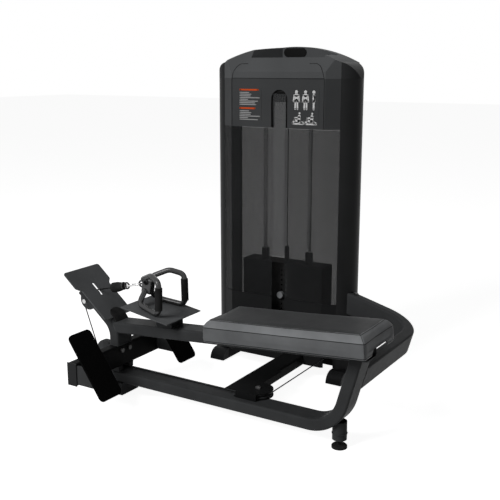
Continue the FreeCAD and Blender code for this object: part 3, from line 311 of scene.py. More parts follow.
def moulded(name, level, roughness, grain=900.0):
    """Moulded plastic with a fine leather-like spark texture."""
    made, tree, shader = material(name, grey(level, COOL), roughness, specular=0.04)
    stops = [(0.35, grey(level * 0.95, COOL)), (0.65, grey(level * 1.05, COOL))]
    tree.links.new(ramp(tree, noise(tree, 3.0), stops), shader.inputs["Base Color"])
    cells = node(tree, "ShaderNodeTexVoronoi", Scale=grain)
    tree.links.new(place(tree), cells.inputs["Vector"])
    bump(tree, shader, cells.outputs["Distance"], strength=0.25, distance=0.0004)
    bump(tree, shader, noise(tree, 12.0, 2.0), strength=0.05, distance=0.002)
    return made


def smoked(name, level, alpha, roughness):
    """Smoked clear sheet with faint smears and hairline scratches."""
    made, tree, shader = material(name, grey(level, COOL), roughness, specular=0.06, alpha=alpha)
    smears = noise(tree, 5.0, 5.0, (1.0, 1.0, 0.25))
    tree.links.new(span(tree, smears, roughness - 0.06, roughness + 0.10), shader.inputs["Roughness"])
    tint = ramp(tree, smears, [(0.3, grey(level * 0.9, COOL)), (0.7, grey(level * 1.15, COOL))])
    tree.links.new(tint, shader.inputs["Base Color"])
    bump(tree, shader, noise(tree, 300.0, 2.0, (1.0, 1.0, 0.03)), strength=0.03, distance=0.0003)
    made.blend_method = "BLEND"
    return made


def rubber(name, level, ribs=0.0):
    """Matt rubber: dusty, finely pitted, ribbed where asked."""
    made, tree, shader = material(name, grey(level), 0.72, specular=0.05)
    dust = ramp(tree, noise(tree, 22.0), [(0.35, grey(level * 0.85)), (0.70, grey(level * 1.25))])
    tree.links.new(dust, shader.inputs["Base Color"])
    bump(tree, shader, noise(tree, 800.0, 3.0), strength=0.30, distance=0.0005)
    if ribs:
        wave = node(tree, "ShaderNodeTexWave", Scale=ribs)
        tree.links.new(place(tree), wave.inputs["Vector"])
        bump(tree, shader, wave.outputs["Fac"], strength=0.25, distance=0.0006)
    return made


def tread(name, level):
    """Non-slip foot plate: fine sandpaper grains over black paint."""
    made, tree, shader = material(name, grey(level), 0.85, specular=0.02)
    grains = node(tree, "ShaderNodeTexVoronoi", Scale=650.0)
    tree.links.new(place(tree), grains.inputs["Vector"])
    stops = [(0.15, grey(level * 1.9)), (0.55, grey(level * 0.8))]
    specks = ramp(tree, grains.outputs["Distance"], stops)
    # Lighter edges: wear together with a painted highlight in place of lamp glints.
    tree.links.new(edge_wear_and_highlight(tree, specks, grey(level * 3.2)), shader.inputs["Base Color"])
    bump(tree, shader, grains.outputs["Distance"], strength=0.6, distance=0.0008)
    return made


def vinyl(name, level):
    """Grained upholstery vinyl: pebble grain, pores, soft sheen and creases."""
    made, tree, shader = material(name, grey(level, COOL), 0.48, specular=0.06)
    shader.inputs["Sheen Weight"].default_value = 0.06
    stops = [(0.3, grey(level * 0.92, COOL)), (0.7, grey(level * 1.08, COOL))]
    tree.links.new(ramp(tree, noise(tree, 9.0), stops), shader.inputs["Base Color"])
    pebbles = node(tree, "ShaderNodeTexVoronoi", Scale=520.0)
    tree.links.new(place(tree), pebbles.inputs["Vector"])
    bump(tree, shader, pebbles.outputs["Distance"], strength=0.35, distance=0.0006)
    bump(tree, shader, noise(tree, 45.0, 5.0), strength=0.16, distance=0.0015)
    tree.links.new(span(tree, noise(tree, 30.0), 0.42, 0.56), shader.inputs["Roughness"])
    return made


def metal(name, level, roughness, brushed=0.0):
    """Bare or plated metal, brushed round or along where asked, with fine scratches."""
    made, tree, shader = material(name, grey(level), roughness, metallic=1.0)
    scratched = span(tree, noise(tree, 80.0), roughness * 0.8, roughness * 1.5)
    tree.links.new(scratched, shader.inputs["Roughness"])
    stretch = (1.0, 1.0, 0.04) if brushed else (1.0, 1.0, 1.0)
    bump(tree, shader, noise(tree, 600.0, 2.0, stretch), strength=0.04 + brushed, distance=0.0003)
    stain = ramp(tree, noise(tree, 18.0), [(0.35, grey(level * 0.92)), (0.65, grey(level))])
    tree.links.new(stain, shader.inputs["Base Color"])
    return made


def cast_iron(name, level):
    """Black painted cast plates: lumpy skin and lighter edges that are partly chalky wear and partly a
    painted highlight.
    """
    made, tree, shader = material(name, grey(level), 0.62, specular=0.08)
    skin = ramp(tree, noise(tree, 25.0), [(0.3, grey(level * 0.8)), (0.7, grey(level * 1.2))])
    # Lighter edges: chalky wear together with a painted highlight in place of lamp glints.
    tree.links.new(edge_wear_and_highlight(tree, skin, grey(level * 2.0)), shader.inputs["Base Color"])
    bump(tree, shader, noise(tree, 260.0, 5.0), strength=0.35, distance=0.0008)
    return made


def plywood(name, level):
    """Black stained underside board with its grain."""
    made, tree, shader = material(name, grey(level), 0.7, specular=0.08)
    stops = [(0.3, grey(level * 0.7)), (0.7, grey(level * 1.3))]
    grain = ramp(tree, noise(tree, 40.0, 6.0, (0.08, 1.0, 1.0)), stops)
    tree.links.new(grain, shader.inputs["Base Color"])
    bump(tree, shader, noise(tree, 90.0, 4.0, (0.06, 1.0, 1.0)), strength=0.3, distance=0.0006)
    return made


def print_ink(name, colour):
    """Printed ink or label film."""
    made, tree, shader = material(name, colour, 0.45, specular=0.06)
    dim = tuple(part * 0.88 for part in colour[:3]) + (1.0,)
    tone = ramp(tree, noise(tree, 200.0), [(0.35, dim), (0.6, colour)])
    tree.links.new(tone, shader.inputs["Base Color"])
    bump(tree, shader, noise(tree, 500.0), strength=0.03, distance=0.0002)
    return made


MATERIALS = {
    "frame": powder_coat("frame_coat", 66, 0.42),
    # The frame's own black coat, darker as painted shade for the beams, feet, shelf, brackets and pulley
    # plates.
    "beam": powder_coat("frame_coat_painted_shade", 26, 0.50),
    # The frame's own black coat, lighter as a painted highlight for the lit top faces of the guard plate
    # and handle tray.
    "plate": powder_coat("frame_coat_painted_highlight", 98, 0.50, 900.0),
    # The frame's black coat, darker as painted shade for the tower columns' sides turned from the light.
    "column": powder_coat("column_coat_painted_shade", 33, 0.38, specular=0.08),
    "shroud": moulded("shroud_plastic", 66, 0.50),
    "kick": moulded("kick_plastic", 36, 0.50),
    # The shroud's plastic, lighter as a painted highlight for the crown's upward-leaning face.
    "crown": moulded("crown_plastic_painted_highlight", 84, 0.50),
    "cap": moulded("cap_plastic", 44, 0.42),
    "window": smoked("smoked_sheet", 44, 0.53, 0.22),
    "strip": smoked("selector_sheet", 66, 0.55, 0.30),
    "rubber": rubber("black_rubber", 40),
    "grip": rubber("grip_rubber", 34, 260.0),
    "tread": tread("tread_coat", 9),
    "vinyl": vinyl("pad_vinyl", 108),
    # The same vinyl as the sides, lighter as a painted highlight on the bevel and darker as painted shade
    # on the top.
    "vinyl_painted_highlight": vinyl("pad_bevel_vinyl_painted_highlight", 134),
    "seam": vinyl("seam_vinyl", 40),
    "vinyl_painted_shade": vinyl("pad_top_vinyl_painted_shade", 60),
    "chrome": metal("chrome_plate", 225, 0.10),
    "steel": metal("zinc_plate", 190, 0.30, 0.10),
    "rod": metal("guide_rod_steel", 205, 0.22, 0.06),
    "oxide": metal("black_bolts", 70, 0.40),
    "iron": cast_iron("stack_iron", 34),
    "board": plywood("seat_plywood", 34),
    "enamel": powder_coat("handle_enamel", 44, 0.26, 300.0, 0.5),
    "nylon": moulded("pulley_nylon", 70, 0.42),
    "jacket": moulded("cable_jacket", 22, 0.35, 1400.0),
    "knob": moulded("pin_knob", 135, 0.38),
    "thread": print_ink("stitch_thread", grey(120)),
    "label_black": print_ink("label_film", grey(12)),
    "ink_white": print_ink("white_ink", grey(225)),
    "ink_grey": print_ink("grey_ink", grey(165)),
    "ink_orange": print_ink("orange_ink", (0.66, 0.085, 0.018, 1.0)),
}

NODE_MATERIALS = {
    "frame": ["loop_tube", "seat_rail", "front_column", "front_spacers", "sweep_tube", "support_leg",
              "foot_plate_gussets", "tray_bracket", "front_pulley_plates"],
    "beam": ["front_beam", "tower_feet", "tower_cross_member", "mid_cross_beam", "stack_shelf",
             "top_beam", "floor_pulley_brackets", "top_pulley_plates"],
    "plate": ["guard_plate", "handle_tray"],
    "column": ["tower_columns"],
    "shroud": ["upper_panel", "placards"],
    "kick": ["kick_panel"],
    "crown": ["crown_cover"],
    "cap": ["column_caps", "end_caps"],
    "window": ["window_panel", "rear_shroud"],
    "strip": ["selector_strip"],
    "rubber": ["levelling_glide", "stop_pad", "stack_bumpers", "rubber_feet", "cable_stopper"],
    "tread": ["foot_plates"],
    "iron": ["resting_weight_plates", "lifted_weight_plates", "stack_top_plate", "stack_bushes"],
    "rod": ["guide_rods", "selector_stem"],
    "steel": ["pulley_axles"],
    "oxide": ["frame_bolts"],
    "chrome": ["carabiner"],
    "enamel": ["row_handle_frame", "swivel_eye"],
    "grip": ["row_handle_grips"],
    "nylon": ["high_front_pulley", "low_front_pulley", "corner_pulley", "tower_base_pulley",
              "top_side_pulley", "top_centre_pulley"],
    "jacket": ["main_cable"],
    "knob": ["selector_pin"],
    "board": ["seat_board"],
    "label_black": ["crown_badge"],
}


def dress_nodes():
    """Give every carried-over CAD node its material."""
    for key, names in NODE_MATERIALS.items():
        for name in names:
            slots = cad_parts[name].material_slots
            if not slots:
                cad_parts[name].data.materials.append(MATERIALS[key])
            for entry in slots:
                entry.link = "OBJECT"
                entry.material = MATERIALS[key]


# ---------------------------------------------------------------- mesh helpers
def bare_object(name, bm):
    """Object from a bmesh, in the scene."""
    data = bpy.data.meshes.new(name)
    bm.to_mesh(data)
    bm.free()
    made = bpy.data.objects.new(name, data)
    bpy.context.scene.collection.objects.link(made)
    return made


def mesh_object(name, bm, key, smooth=True):
    """Object from a bmesh, with its material."""
    made = bare_object(name, bm)
    for face in made.data.polygons:
        face.use_smooth = smooth
    made.data.materials.append(MATERIALS[key])
    return made


def circle_verts(bm, centre, along, radius, sides):
    """Ring of vertices round a direction."""
    side = along.cross(SKEW).normalized()
    other = along.cross(side)
    ring = []
    for k in range(sides):
        angle = 2 * math.pi * k / sides
        across = side * (radius * math.cos(angle))
        ring.append(bm.verts.new(centre + across + other * (radius * math.sin(angle))))
    return ring


def join_rings(bm, rings, closed):
    """Skin through rings of as many vertices, joined up end to end or capped."""
    count = len(rings[0])
    pairs = list(zip(rings, rings[1:]))
    if closed:
        pairs.append((rings[-1], rings[0]))
    for first, second in pairs:
        for k in range(count):
            after = (k + 1) % count
            bm.faces.new((first[k], first[after], second[after], second[k]))
    if not closed:
        bm.faces.new(rings[0][::-1])
        bm.faces.new(rings[-1])


def tube_mesh(bm, points, radius, sides, closed=False):
    """Round tube through points."""
    rings = []
    count = len(points)
    for i, point in enumerate(points):
        before = points[i - 1] if i or closed else point
        after = points[(i + 1) % count] if i < count - 1 or closed else point
        rings.append(circle_verts(bm, point, (after - before).normalized(), radius, sides))
    join_rings(bm, rings, closed)


def cuboid(bm, low, high):
    """Box between two corners."""
    corners = []
    for z in (low[2], high[2]):
        for x, y in ((low[0], low[1]), (high[0], low[1]), (high[0], high[1]), (low[0], high[1])):
            corners.append(bm.verts.new(Vector((x, y, z))))
    for quad in ((0, 3, 2, 1), (4, 5, 6, 7), (0, 1, 5, 4), (1, 2, 6, 5), (2, 3, 7, 6), (3, 0, 4, 7)):
        bm.faces.new([corners[i] for i in quad])


# ---------------------------------------------------------------- seat cushion
def seat_matrix():
    """Frame on the middle of the cushion's underside, X along the seat rail."""
    low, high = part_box("seat_pad")
    rise = math.sin(SEAT_SLOPE)
    run = math.cos(SEAT_SLOPE)
    x = low.x + SEAT_LENGTH / 2 * run + SEAT_SIDE * rise
    centre = Vector((x, (low.y + high.y) / 2, low.z + SEAT_LENGTH / 2 * rise))
    return Matrix.Translation(centre) @ Matrix.Rotation(-SEAT_SLOPE, 4, "Y")


def ring_points(inset, z):
    """Rounded rectangle at a distance in from the cushion's side, lifted clear of the rail at its ends."""
    radius = max(SEAT_CORNER - inset * CORNER_SHRINK, CORNER_LEAST)
    half_x = SEAT_LENGTH / 2 + SEAT_SWELL - inset - radius
    half_y = SEAT_WIDTH / 2 + SEAT_SWELL - inset - radius
    points = []
    for cx, cy, start in ((1, 1, 0), (-1, 1, 90), (-1, -1, 180), (1, -1, 270)):
        for k in range(CORNER_STEPS + 1):
            angle = math.radians(start + 90 * k / CORNER_STEPS)
            points.append(Vector((cx * half_x + radius * math.cos(angle),
                                  cy * half_y + radius * math.sin(angle), z)))
        if cx != cy:
            for share in (RAIL_SHARE + RAIL_EASE, RAIL_SHARE, -RAIL_SHARE, -RAIL_SHARE - RAIL_EASE):
                lift = z if abs(share) > RAIL_SHARE else max(z, 0.0)
                points.append(Vector((cx * (half_x + radius), cy * share * half_y, lift)))
    return points


def loft(bm, rings):
    """Closed skin through rings of as many points."""
    join_rings(bm, [[bm.verts.new(point) for point in ring] for ring in rings], False)


def inflate(pad):
    """Cloth pressure on a remeshed copy of the cushion, its travel capped and its underside kept flat."""
    remesh = pad.modifiers.new("remesh", "REMESH")
    remesh.mode = "VOXEL"
    remesh.voxel_size = VOXEL
    bpy.context.view_layer.objects.active = pad
    bpy.ops.object.modifier_apply(modifier="remesh")
    before = [vert.co.copy() for vert in pad.data.vertices]
    cloth = pad.modifiers.new("cloth", "CLOTH")
    cloth.settings.use_pressure = True
    cloth.settings.uniform_pressure_force = CLOTH_PRESSURE
    cloth.settings.effector_weights.gravity = 0.0
    cloth.settings.quality = CLOTH_QUALITY
    for step in range(1, CLOTH_STEPS + 1):
        bpy.context.scene.frame_set(step)
    bpy.ops.object.modifier_apply(modifier="cloth")
    bpy.context.scene.frame_set(1)
    for vert, rest in zip(pad.data.vertices, before):
        moved = vert.co - rest
        if moved.length > CLOTH_CAP:
            moved *= CLOTH_CAP / moved.length
        vert.co = rest + moved
        if rest.z < 0.0:
            vert.co = rest
        vert.co.z = min(vert.co.z, SEAT_TOP + PILLOW)
    fine = pad.modifiers.new("subdivision", "SUBSURF")
    fine.levels = 1
    fine.render_levels = 1
    bpy.ops.object.modifier_apply(modifier="subdivision")


def on_skin(tree, points):
    """Points moved to the nearest place on the cushion's skin."""
    return [tree.find_nearest(point)[0] for point in points]


def stitches(bm, points):
    """Short thread dashes along a line of points."""
    left_over = 0.0
    for first, second in zip(points, points[1:]):
        run = second - first
        at = left_over
        while at < run.length:
            along = run.normalized()
            start = first + along * at
            end = start + along * (STITCH_PITCH * STITCH_SHARE)
            tube_mesh(bm, [start, end], STITCH_RADIUS, THREAD_SIDES)
            at += STITCH_PITCH
        left_over = at - run.length


def resampled(points, pitch):
    """Points at an even pitch along a closed line."""
    even = []
    for first, second in zip(points, points[1:] + points[:1]):
        count = max(1, round((second - first).length / pitch))
        for k in range(count):
            even.append(first.lerp(second, k / count))
    return even


def paint_cushion(pad):
    """Its sides, top and bevel in three copies of one vinyl: the top darker as painted shade, the bevel
    lighter as a painted highlight.
    """
    pad.data.materials.append(MATERIALS["vinyl_painted_shade"])
    pad.data.materials.append(MATERIALS["vinyl_painted_highlight"])
    for face in pad.data.polygons:
        face.use_smooth = True
        side_x = SEAT_LENGTH / 2 - abs(face.center.x)
        side_y = SEAT_WIDTH / 2 - abs(face.center.y)
        # Top faces take the darker copy (painted shade), bevel faces the lighter copy (painted highlight).
        if face.center.z > SEAT_SIDE:
            face.material_index = 1 if min(side_x, side_y) > SEAT_BEVEL else 2


def corner_lines():
    """Lines up the cushion's four corners and in over its bevel."""
    out = SEAT_CORNER * (1 - math.sqrt(0.5))
    back = SEAT_BEVEL + CORNER_LAP
    lines = []
    for cx in (1, -1):
        for cy in (1, -1):
            x = cx * (SEAT_LENGTH / 2 - out)
            y = cy * (SEAT_WIDTH / 2 - out)
            foot = Vector((x, y, CORNER_FOOT - SEAT_WRAP))
            edge = Vector((x, y, SEAT_SIDE))
            inner = Vector((cx * (SEAT_LENGTH / 2 - back), cy * (SEAT_WIDTH / 2 - back), SEAT_TOP))
            for start, end in ((foot, edge), (edge, inner)):
                lines.append([start.lerp(end, k / CORNER_PARTS) for k in range(CORNER_PARTS + 1)])
    return lines


def cushion():
    """Stitched seat pad: bevelled, crowned faces, welted seams and thread."""
    rings = [ring_points(inset, z) for inset, z in COVER_RINGS]
    for inset, lift in TOP_RINGS:
        rings.append(ring_points(inset, SEAT_TOP - PILLOW_DROP + PILLOW * lift))
    bm = bmesh.new()
    loft(bm, rings)
    where = seat_matrix()
    pad = mesh_object("seat_cushion", bm, "vinyl")
    inflate(pad)
    paint_cushion(pad)
    skin = BVHTree.FromPolygons([vert.co for vert in pad.data.vertices],
                                [list(face.vertices) for face in pad.data.polygons])
    welts = bmesh.new()
    for inset, z in WELTS:
        line = on_skin(skin, resampled(ring_points(inset, z), WELT_PITCH))
        tube_mesh(welts, line, WELT_RADIUS, WELT_SIDES, True)
    for line in corner_lines():
        tube_mesh(welts, on_skin(skin, line), WELT_RADIUS * CORNER_WELT, THREAD_SIDES)
    seams = mesh_object("seat_seams", welts, "seam")
    thread = bmesh.new()
    for inset, z in THREADS:
        line = on_skin(skin, resampled(ring_points(inset, z), THREAD_PITCH))
        stitches(thread, line + line[:1])
    sewn = mesh_object("seat_stitches", thread, "thread")
    for piece in (pad, seams, sewn):
        piece.data.transform(where)
        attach(piece, "machine_frame")
    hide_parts("seat_pad")


# ---------------------------------------------------------------- cables that change length
def stretch_cable(name, start, end):
    """Taut stretch between two bodies."""
    line = [start.lerp(end, k / CABLE_PARTS) for k in range(CABLE_PARTS + 1)]
    bm = bmesh.new()
    tube_mesh(bm, line, CABLE_RADIUS, CABLE_SIDES)
    made = mesh_object(name + "_run", bm, "jacket")
    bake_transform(made)
    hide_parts(name)


def cables():
    """The stretch above the stack and the stretch to the handle."""
    low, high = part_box("stack_cable")
    middle = (low + high) / 2
    start = Vector((middle.x, middle.y, low.z))
    end = Vector((middle.x, middle.y, high.z))
    stretch_cable("stack_cable", start, end)
    low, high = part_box("pull_cable")
    y = (low.y + high.y) / 2
    across = Vector((CABLE_RADIUS * math.sin(PULL_RISE), 0, CABLE_RADIUS * math.cos(PULL_RISE)))
    start = Vector((low.x, y, low.z)) + across
    end = Vector((high.x, y, high.z)) - across
    stretch_cable("pull_cable", start, end)


# ---------------------------------------------------------------- smoked window
def window_sheets():
    """The smoked sheet with the selector strip's slot cut through it up to its top edge."""
    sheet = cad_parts["window_panel"]
    made = bpy.data.objects.new("window_sheets", sheet.data.copy())
    bpy.context.scene.collection.objects.link(made)
    made.data.materials.clear()
    made.data.materials.append(MATERIALS["window"])
    low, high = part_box("selector_strip")
    window_low, window_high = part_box("window_panel")
    bm = bmesh.new()
    cuboid(bm, Vector((low.x, window_low.y - SLOT_MARGIN, low.z - SLOT_MARGIN)),
           Vector((high.x, low.y + SLOT_MARGIN, window_high.z + SLOT_MARGIN)))
    cutter = bare_object("slot", bm)
    cutter_mesh = cutter.data
    cut = made.modifiers.new("slot", "BOOLEAN")
    cut.operation = "DIFFERENCE"
    cut.object = cutter
    bpy.context.view_layer.objects.active = made
    bpy.ops.object.modifier_apply(modifier="slot")
    bpy.data.objects.remove(cutter)
    bpy.data.meshes.remove(cutter_mesh)
    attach(made, "machine_frame")
    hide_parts("window_panel")


def selector_gap_shade():
    """Black block behind the gap round the selector strip's upper end, painted shade for the dark recess
    there.
    """
    low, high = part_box("selector_strip")
    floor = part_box("upper_panel")[0].z
    left = low.x - SURROUND_WIDE
    right = high.x + SURROUND_WIDE
    step = high.z - SURROUND_LAP
    back = high.y + SURROUND_DEEP
    bm = bmesh.new()
    for x0, x1 in ((left, low.x + SURROUND_LAP), (high.x - SURROUND_LAP, right)):
        cuboid(bm, Vector((x0, high.y, floor)), Vector((x1, back, step)))
    cuboid(bm, Vector((left, high.y, step)), Vector((right, back, high.z + SURROUND_RISE)))
    bmesh.ops.bevel(bm, geom=bm.edges[:], offset=SURROUND_ROUND, segments=2, affect="EDGES")
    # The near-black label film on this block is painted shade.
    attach(mesh_object("selector_gap_shade", bm, "label_black"), "machine_frame")


def panel_lines():
    """Beads that frame the upper panel and curve in over the crown's leaning face to its tray."""
    panel_low, panel_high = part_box("upper_panel")
    crown_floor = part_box("crown_cover")[0].z
    middle = (panel_low.x + panel_high.x) / 2
    header = crown_floor + HEADER_RISE
    turn = FRAME_HALF - BORDER_ROUND
    bm = bmesh.new()
    for side in (-1, 1):
        edge = middle + side * FRAME_HALF
        line = [Vector((edge, panel_low.y, panel_low.z + WELT_RADIUS)),
                Vector((edge, panel_low.y, header - BORDER_ROUND))]
        for k in range(1, BORDER_STEPS + 1):
            angle = math.radians(90 * k / BORDER_STEPS)
            x = middle + side * (turn + BORDER_ROUND * math.cos(angle))
            z = header - BORDER_ROUND + (BORDER_ROUND + BORDER_OVER) * math.sin(angle)
            back = max(0.0, z - header) * CROWN_LEAN
            line.append(Vector((x, panel_low.y + back, z)))
        line.append(Vector((middle + side * BORDER_END, line[-1].y, line[-1].z)))
        tube_mesh(bm, line, LINE_RADIUS, LINE_SIDES)
    header_line = [Vector((middle + share * FRAME_HALF, panel_low.y, crown_floor)) for share in (-1, 0, 1)]
    tube_mesh(bm, header_line, LINE_RADIUS, LINE_SIDES)
    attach(mesh_object("panel_lines", bm, "seam"), "machine_frame")


# ---------------------------------------------------------------- printed sheets
def disc(bm, centre, radius, sides=20):
    """Flat disc facing -Y."""
    ring = []
    for k in range(sides):
        angle = 2 * math.pi * k / sides
        ring.append(bm.verts.new(centre + Vector((radius * math.cos(angle), 0, radius * math.sin(angle)))))
    bm.faces.new(ring)


def bar(bm, first, second, wide):
    """Flat round-ended bar facing -Y."""
    along = (second - first).normalized()
    side = Vector((-along.z, 0, along.x)) * (wide / 2)
    corners = (first - side, second - side, second + side, first + side)
    bm.faces.new([bm.verts.new(point) for point in corners])
    disc(bm, first, wide / 2, 12)
    disc(bm, second, wide / 2, 12)


def stroke_figure(bm, origin, height, strokes, head):
    """Plain pictogram: a head disc and bars, in units of its height."""
    def spot(x, z):
        return origin + Vector((x * height, 0, z * height))

    disc(bm, spot(*head), HEAD * height)
    for x0, z0, x1, z1, wide in strokes:
        bar(bm, spot(x0, z0), spot(x1, z1), wide * height)


# Bars of each plain figure: x and z of both ends and width, in units of its height.
STANDING = [(0.0, 0.45, 0.0, 0.74, 0.20), (-0.13, 0.74, -0.17, 0.42, 0.07),
            (0.13, 0.74, 0.17, 0.42, 0.07), (-0.06, 0.42, -0.07, 0.04, 0.09),
            (0.06, 0.42, 0.07, 0.04, 0.09)]
SIDEWAYS = [(0.0, 0.45, 0.0, 0.74, 0.13), (0.03, 0.72, 0.05, 0.42, 0.06), (0.0, 0.42, 0.0, 0.04, 0.10)]
SEATED = [(0.08, 0.32, 0.12, 0.68, 0.26), (0.10, 0.62, -0.30, 0.56, 0.11),
          (0.06, 0.30, -0.32, 0.38, 0.17), (-0.32, 0.36, -0.48, 0.14, 0.14),
          (-0.46, 0.09, 0.50, 0.09, 0.12), (0.22, 0.20, 0.42, 0.20, 0.20)]
HEAD = 0.085                         # radius, in the same units
UPRIGHT_HEAD = (0.0, 0.90)
SEATED_HEAD = (0.14, 0.93)
# Each figure's bars, head, height and place from the sheets' top right corner.
FIGURES = (
    (STANDING, UPRIGHT_HEAD, 0.088, -0.113, 0.091),
    (STANDING, UPRIGHT_HEAD, 0.088, -0.067, 0.091),
    (SIDEWAYS, UPRIGHT_HEAD, 0.088, -0.026, 0.091),
    (SEATED, SEATED_HEAD, 0.056, -0.104, 0.158),
    (SEATED, SEATED_HEAD, 0.056, -0.040, 0.158),
)


def placards():
    """Generic print on the two sheets of the upper panel."""
    low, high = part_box("placards")
    front = low.y - PRINT_LIFT
    inks = {key: bmesh.new() for key in ("ink_orange", "ink_grey", "ink_white")}
    for start, count, length in TITLES:
        z = high.z - start - TITLE_DROP
        left = low.x + TITLE_SIDE
        bar(inks["ink_orange"], Vector((left, front, z)), Vector((left + length, front, z)), TITLE_THICK)
        for k in range(count):
            z = high.z - start - TEXT_DROP - k * TEXT_PITCH
            first = Vector((low.x + TEXT_SIDE, front, z))
            bar(inks["ink_grey"], first, Vector((low.x + TEXT_REACH[k], front, z)), TEXT_THICK)
    for strokes, head, height, x, drop in FIGURES:
        origin = Vector((high.x + x, front, high.z - drop))
        stroke_figure(inks["ink_white"], origin, height, strokes, head)
    for key, bm in inks.items():
        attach(mesh_object("print_" + key, bm, key, False), "machine_frame")


def number_strip(name, count, first, bottom, body):
    """Plain numbers beside the selector holes."""
    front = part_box("resting_weight_plates")[0].y - PRINT_LIFT
    upright = Matrix.Rotation(math.pi / 2, 4, "X")
    figures = bmesh.new()
    tags = bmesh.new()
    for k in range(count):
        middle = Vector((PIN_X + NUMBER_SIDE, front, bottom + (k + 0.5) * PLATE_PITCH))
        curve = bpy.data.curves.new("number", "FONT")
        curve.body = str((first + count - k) * WEIGHT_STEP)
        curve.size = NUMBER_SIZE
        curve.align_x = "CENTER"
        curve.align_y = "CENTER"
        glyphs = bpy.data.objects.new("number", curve)
        bpy.context.scene.collection.objects.link(glyphs)
        flat = bpy.data.meshes.new_from_object(glyphs)
        flat.transform(Matrix.Translation(middle - Vector((0, NUMBER_LIFT, 0))) @ upright)
        figures.from_mesh(flat)
        bpy.data.objects.remove(glyphs)
        bpy.data.meshes.remove(flat)
        cuboid(tags, middle - Vector(TAG_HALF), middle + Vector(TAG_HALF))
    for part, shapes, key in (("figures", figures, "ink_white"), ("tags", tags, "label_black")):
        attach(mesh_object(name + "_" + part, shapes, key, False), body)


# ---------------------------------------------------------------- welds and small trim
def weld(bm, points):
    """Rippled weld bead along a closed line."""
    even = resampled(points, BEAD_PITCH)
    rings = []
    count = len(even)
    for i, point in enumerate(even):
        along = (even[(i + 1) % count] - even[i - 1]).normalized()
        radius = BEAD_RADIUS * (1.0 + BEAD_RIPPLE * math.sin(i * BEAD_TURN))
        rings.append(circle_verts(bm, point, along, radius, BEAD_SIDES))
    join_rings(bm, rings, True)


def box_loop(x0, x1, y0, y1, z, round_off):
    """Level rounded rectangle for a weld round an upright tube."""
    points = []
    for cx, cy, start in ((x1, y1, 0), (x0, y1, 90), (x0, y0, 180), (x1, y0, 270)):
        ax = cx - round_off if cx == x1 else cx + round_off
        ay = cy - round_off if cy == y1 else cy + round_off
        for quarter in (0, 0.25, 0.5, 0.75, 1):
            angle = math.radians(start + 90 * quarter)
            points.append(Vector((ax + round_off * math.cos(angle), ay + round_off * math.sin(angle), z)))
    return points


def circle_points(centre, side, up, radius):
    """Circle round a centre, in the plane of two directions."""
    points = []
    for k in range(CIRCLE_SIDES):
        angle = 2 * math.pi * k / CIRCLE_SIDES
        points.append(centre + (side * math.cos(angle) + up * math.sin(angle)) * radius)
    return points


def welds():
    """Beads where the frame's tubes meet."""
    bm = bmesh.new()
    low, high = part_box("front_beam")
    column_low, column_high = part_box("front_column")
    weld(bm, box_loop(low.x, high.x, column_low.y, column_high.y, high.z, COLUMN_ROUND))
    for y0, y1 in ((-SADDLE_OUT, -SADDLE_IN), (SADDLE_IN, SADDLE_OUT)):
        weld(bm, box_loop(low.x, high.x, BENCH_Y + y0, BENCH_Y + y1, low.z, SADDLE_ROUND))
    leg_low, leg_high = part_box("support_leg")
    middle = (leg_low + leg_high) / 2
    middle.z = RAIL_BOTTOM + BEAD_LIFT
    weld(bm, circle_points(middle, Vector((1, 0, 0)), Vector((0, 1, 0)), LEG_RADIUS))
    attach(mesh_object("weld_beads", bm, "frame"), "machine_frame")


def stopper_trim():
    """Collar on the stopper's thin end."""
    low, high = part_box("cable_stopper")
    along = Vector((math.cos(PULL_RISE), 0, math.sin(PULL_RISE)))
    side = Vector((0, 1, 0))
    base_x = low.x + STOPPER_BASE * math.sin(PULL_RISE)
    base_z = low.z + STOPPER_BASE * math.cos(PULL_RISE)
    tip_x = high.x - STOPPER_TIP * math.sin(PULL_RISE)
    tip_z = base_z + (tip_x - base_x) * math.tan(PULL_RISE)
    centre = Vector((tip_x, (low.y + high.y) / 2, tip_z)) - along * COLLAR_BACK
    bm = bmesh.new()
    ring = circle_points(centre, side, along.cross(side), STOPPER_TIP)
    tube_mesh(bm, ring, COLLAR_RADIUS, COLLAR_SIDES, True)
    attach(mesh_object("stopper_collar", bm, "enamel"), "pull_end")


# ---------------------------------------------------------------- camera, light, floor
def camera_and_lamps():
    """The camera and the lamps, aimed at the object."""
    camera = bpy.data.objects.new("camera", bpy.data.cameras.new("camera"))
    camera.data.lens = CAMERA_LENS
    camera.data.sensor_width = SENSOR_WIDTH
    camera.location = CAMERA_AT
    camera.rotation_euler = [math.radians(angle) for angle in CAMERA_TURN]
    bpy.context.scene.collection.objects.link(camera)
    bpy.context.scene.camera = camera
    for name, place_at, power, size in LAMPS:
        lamp = bpy.data.objects.new(name, bpy.data.lights.new(name, "AREA"))
        lamp.data.energy = power
        lamp.data.size = size
        lamp.location = place_at
        aim = Vector(LAMP_AIM) - Vector(place_at)
        lamp.rotation_euler = aim.to_track_quat("-Z", "Y").to_euler()
        bpy.context.scene.collection.objects.link(lamp)


def white_world():
    """World that is white to look at and dim as a light."""
    world = bpy.data.worlds.new("studio")
    bpy.context.scene.world = world
    world.use_nodes = True
    tree = world.node_tree
    seen = tree.nodes["Background"]
    seen.inputs["Color"].default_value = (1, 1, 1, 1)
    dim = node(tree, "ShaderNodeBackground", Color=(1, 1, 1, 1), Strength=AMBIENT)
    mix = tree.nodes.new("ShaderNodeMixShader")
    tree.links.new(seen_rays(tree), mix.inputs["Fac"])
    tree.links.new(dim.outputs["Background"], mix.inputs[1])
    tree.links.new(seen.outputs["Background"], mix.inputs[2])
    tree.links.new(mix.outputs["Shader"], tree.nodes["World Output"].inputs["Surface"])


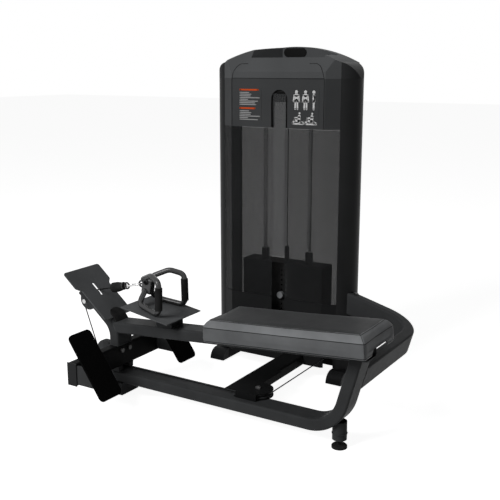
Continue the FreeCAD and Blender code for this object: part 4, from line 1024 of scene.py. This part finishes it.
def pale_floor():
    """Floor that keeps the object's shadow and looks nearly white."""
    bm = bmesh.new()
    bmesh.ops.create_grid(bm, x_segments=1, y_segments=1, size=FLOOR_HALF)
    floor = bare_object("floor", bm)
    floor.location.z = -FLOOR_DROP
    paint = bpy.data.materials.new("pale_floor")
    paint.use_nodes = True
    tree = paint.node_tree
    shader = tree.nodes["Principled BSDF"]
    shader.inputs["Base Color"].default_value = FLOOR_PAINT
    shader.inputs["Roughness"].default_value = 0.9
    shader.inputs["Specular IOR Level"].default_value = 0.0
    glow = node(tree, "ShaderNodeEmission", Color=(1, 1, 1, 1), Strength=FLOOR_GLOW)
    both = tree.nodes.new("ShaderNodeAddShader")
    tree.links.new(shader.outputs["BSDF"], both.inputs[0])
    tree.links.new(glow.outputs["Emission"], both.inputs[1])
    mix = tree.nodes.new("ShaderNodeMixShader")
    tree.links.new(seen_rays(tree), mix.inputs["Fac"])
    tree.links.new(shader.outputs["BSDF"], mix.inputs[1])
    tree.links.new(both.outputs["Shader"], mix.inputs[2])
    tree.links.new(mix.outputs["Shader"], tree.nodes["Material Output"].inputs["Surface"])
    floor.data.materials.append(paint)


def seen_rays(tree):
    """1 for camera, glossy and transmission rays."""
    rays = tree.nodes.new("ShaderNodeLightPath")
    total = None
    for name in ("Is Camera Ray", "Is Glossy Ray", "Is Transmission Ray"):
        if total is None:
            total = rays.outputs[name]
            continue
        most = tree.nodes.new("ShaderNodeMath")
        most.operation = "MAXIMUM"
        tree.links.new(total, most.inputs[0])
        tree.links.new(rays.outputs[name], most.inputs[1])
        total = most.outputs["Value"]
    return total


# ---------------------------------------------------------------- the whole scene
dress_nodes()
cushion()
cables()
window_sheets()
selector_gap_shade()
panel_lines()
placards()
number_strip("lifted_numbers", 6, 0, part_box("lifted_weight_plates")[0].z, "lifted_stack")
number_strip("resting_numbers", 8, 6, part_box("resting_weight_plates")[0].z, "machine_frame")
welds()
stopper_trim()
camera_and_lamps()
white_world()
pale_floor()
bpy.context.scene.view_settings.view_transform = "Standard"
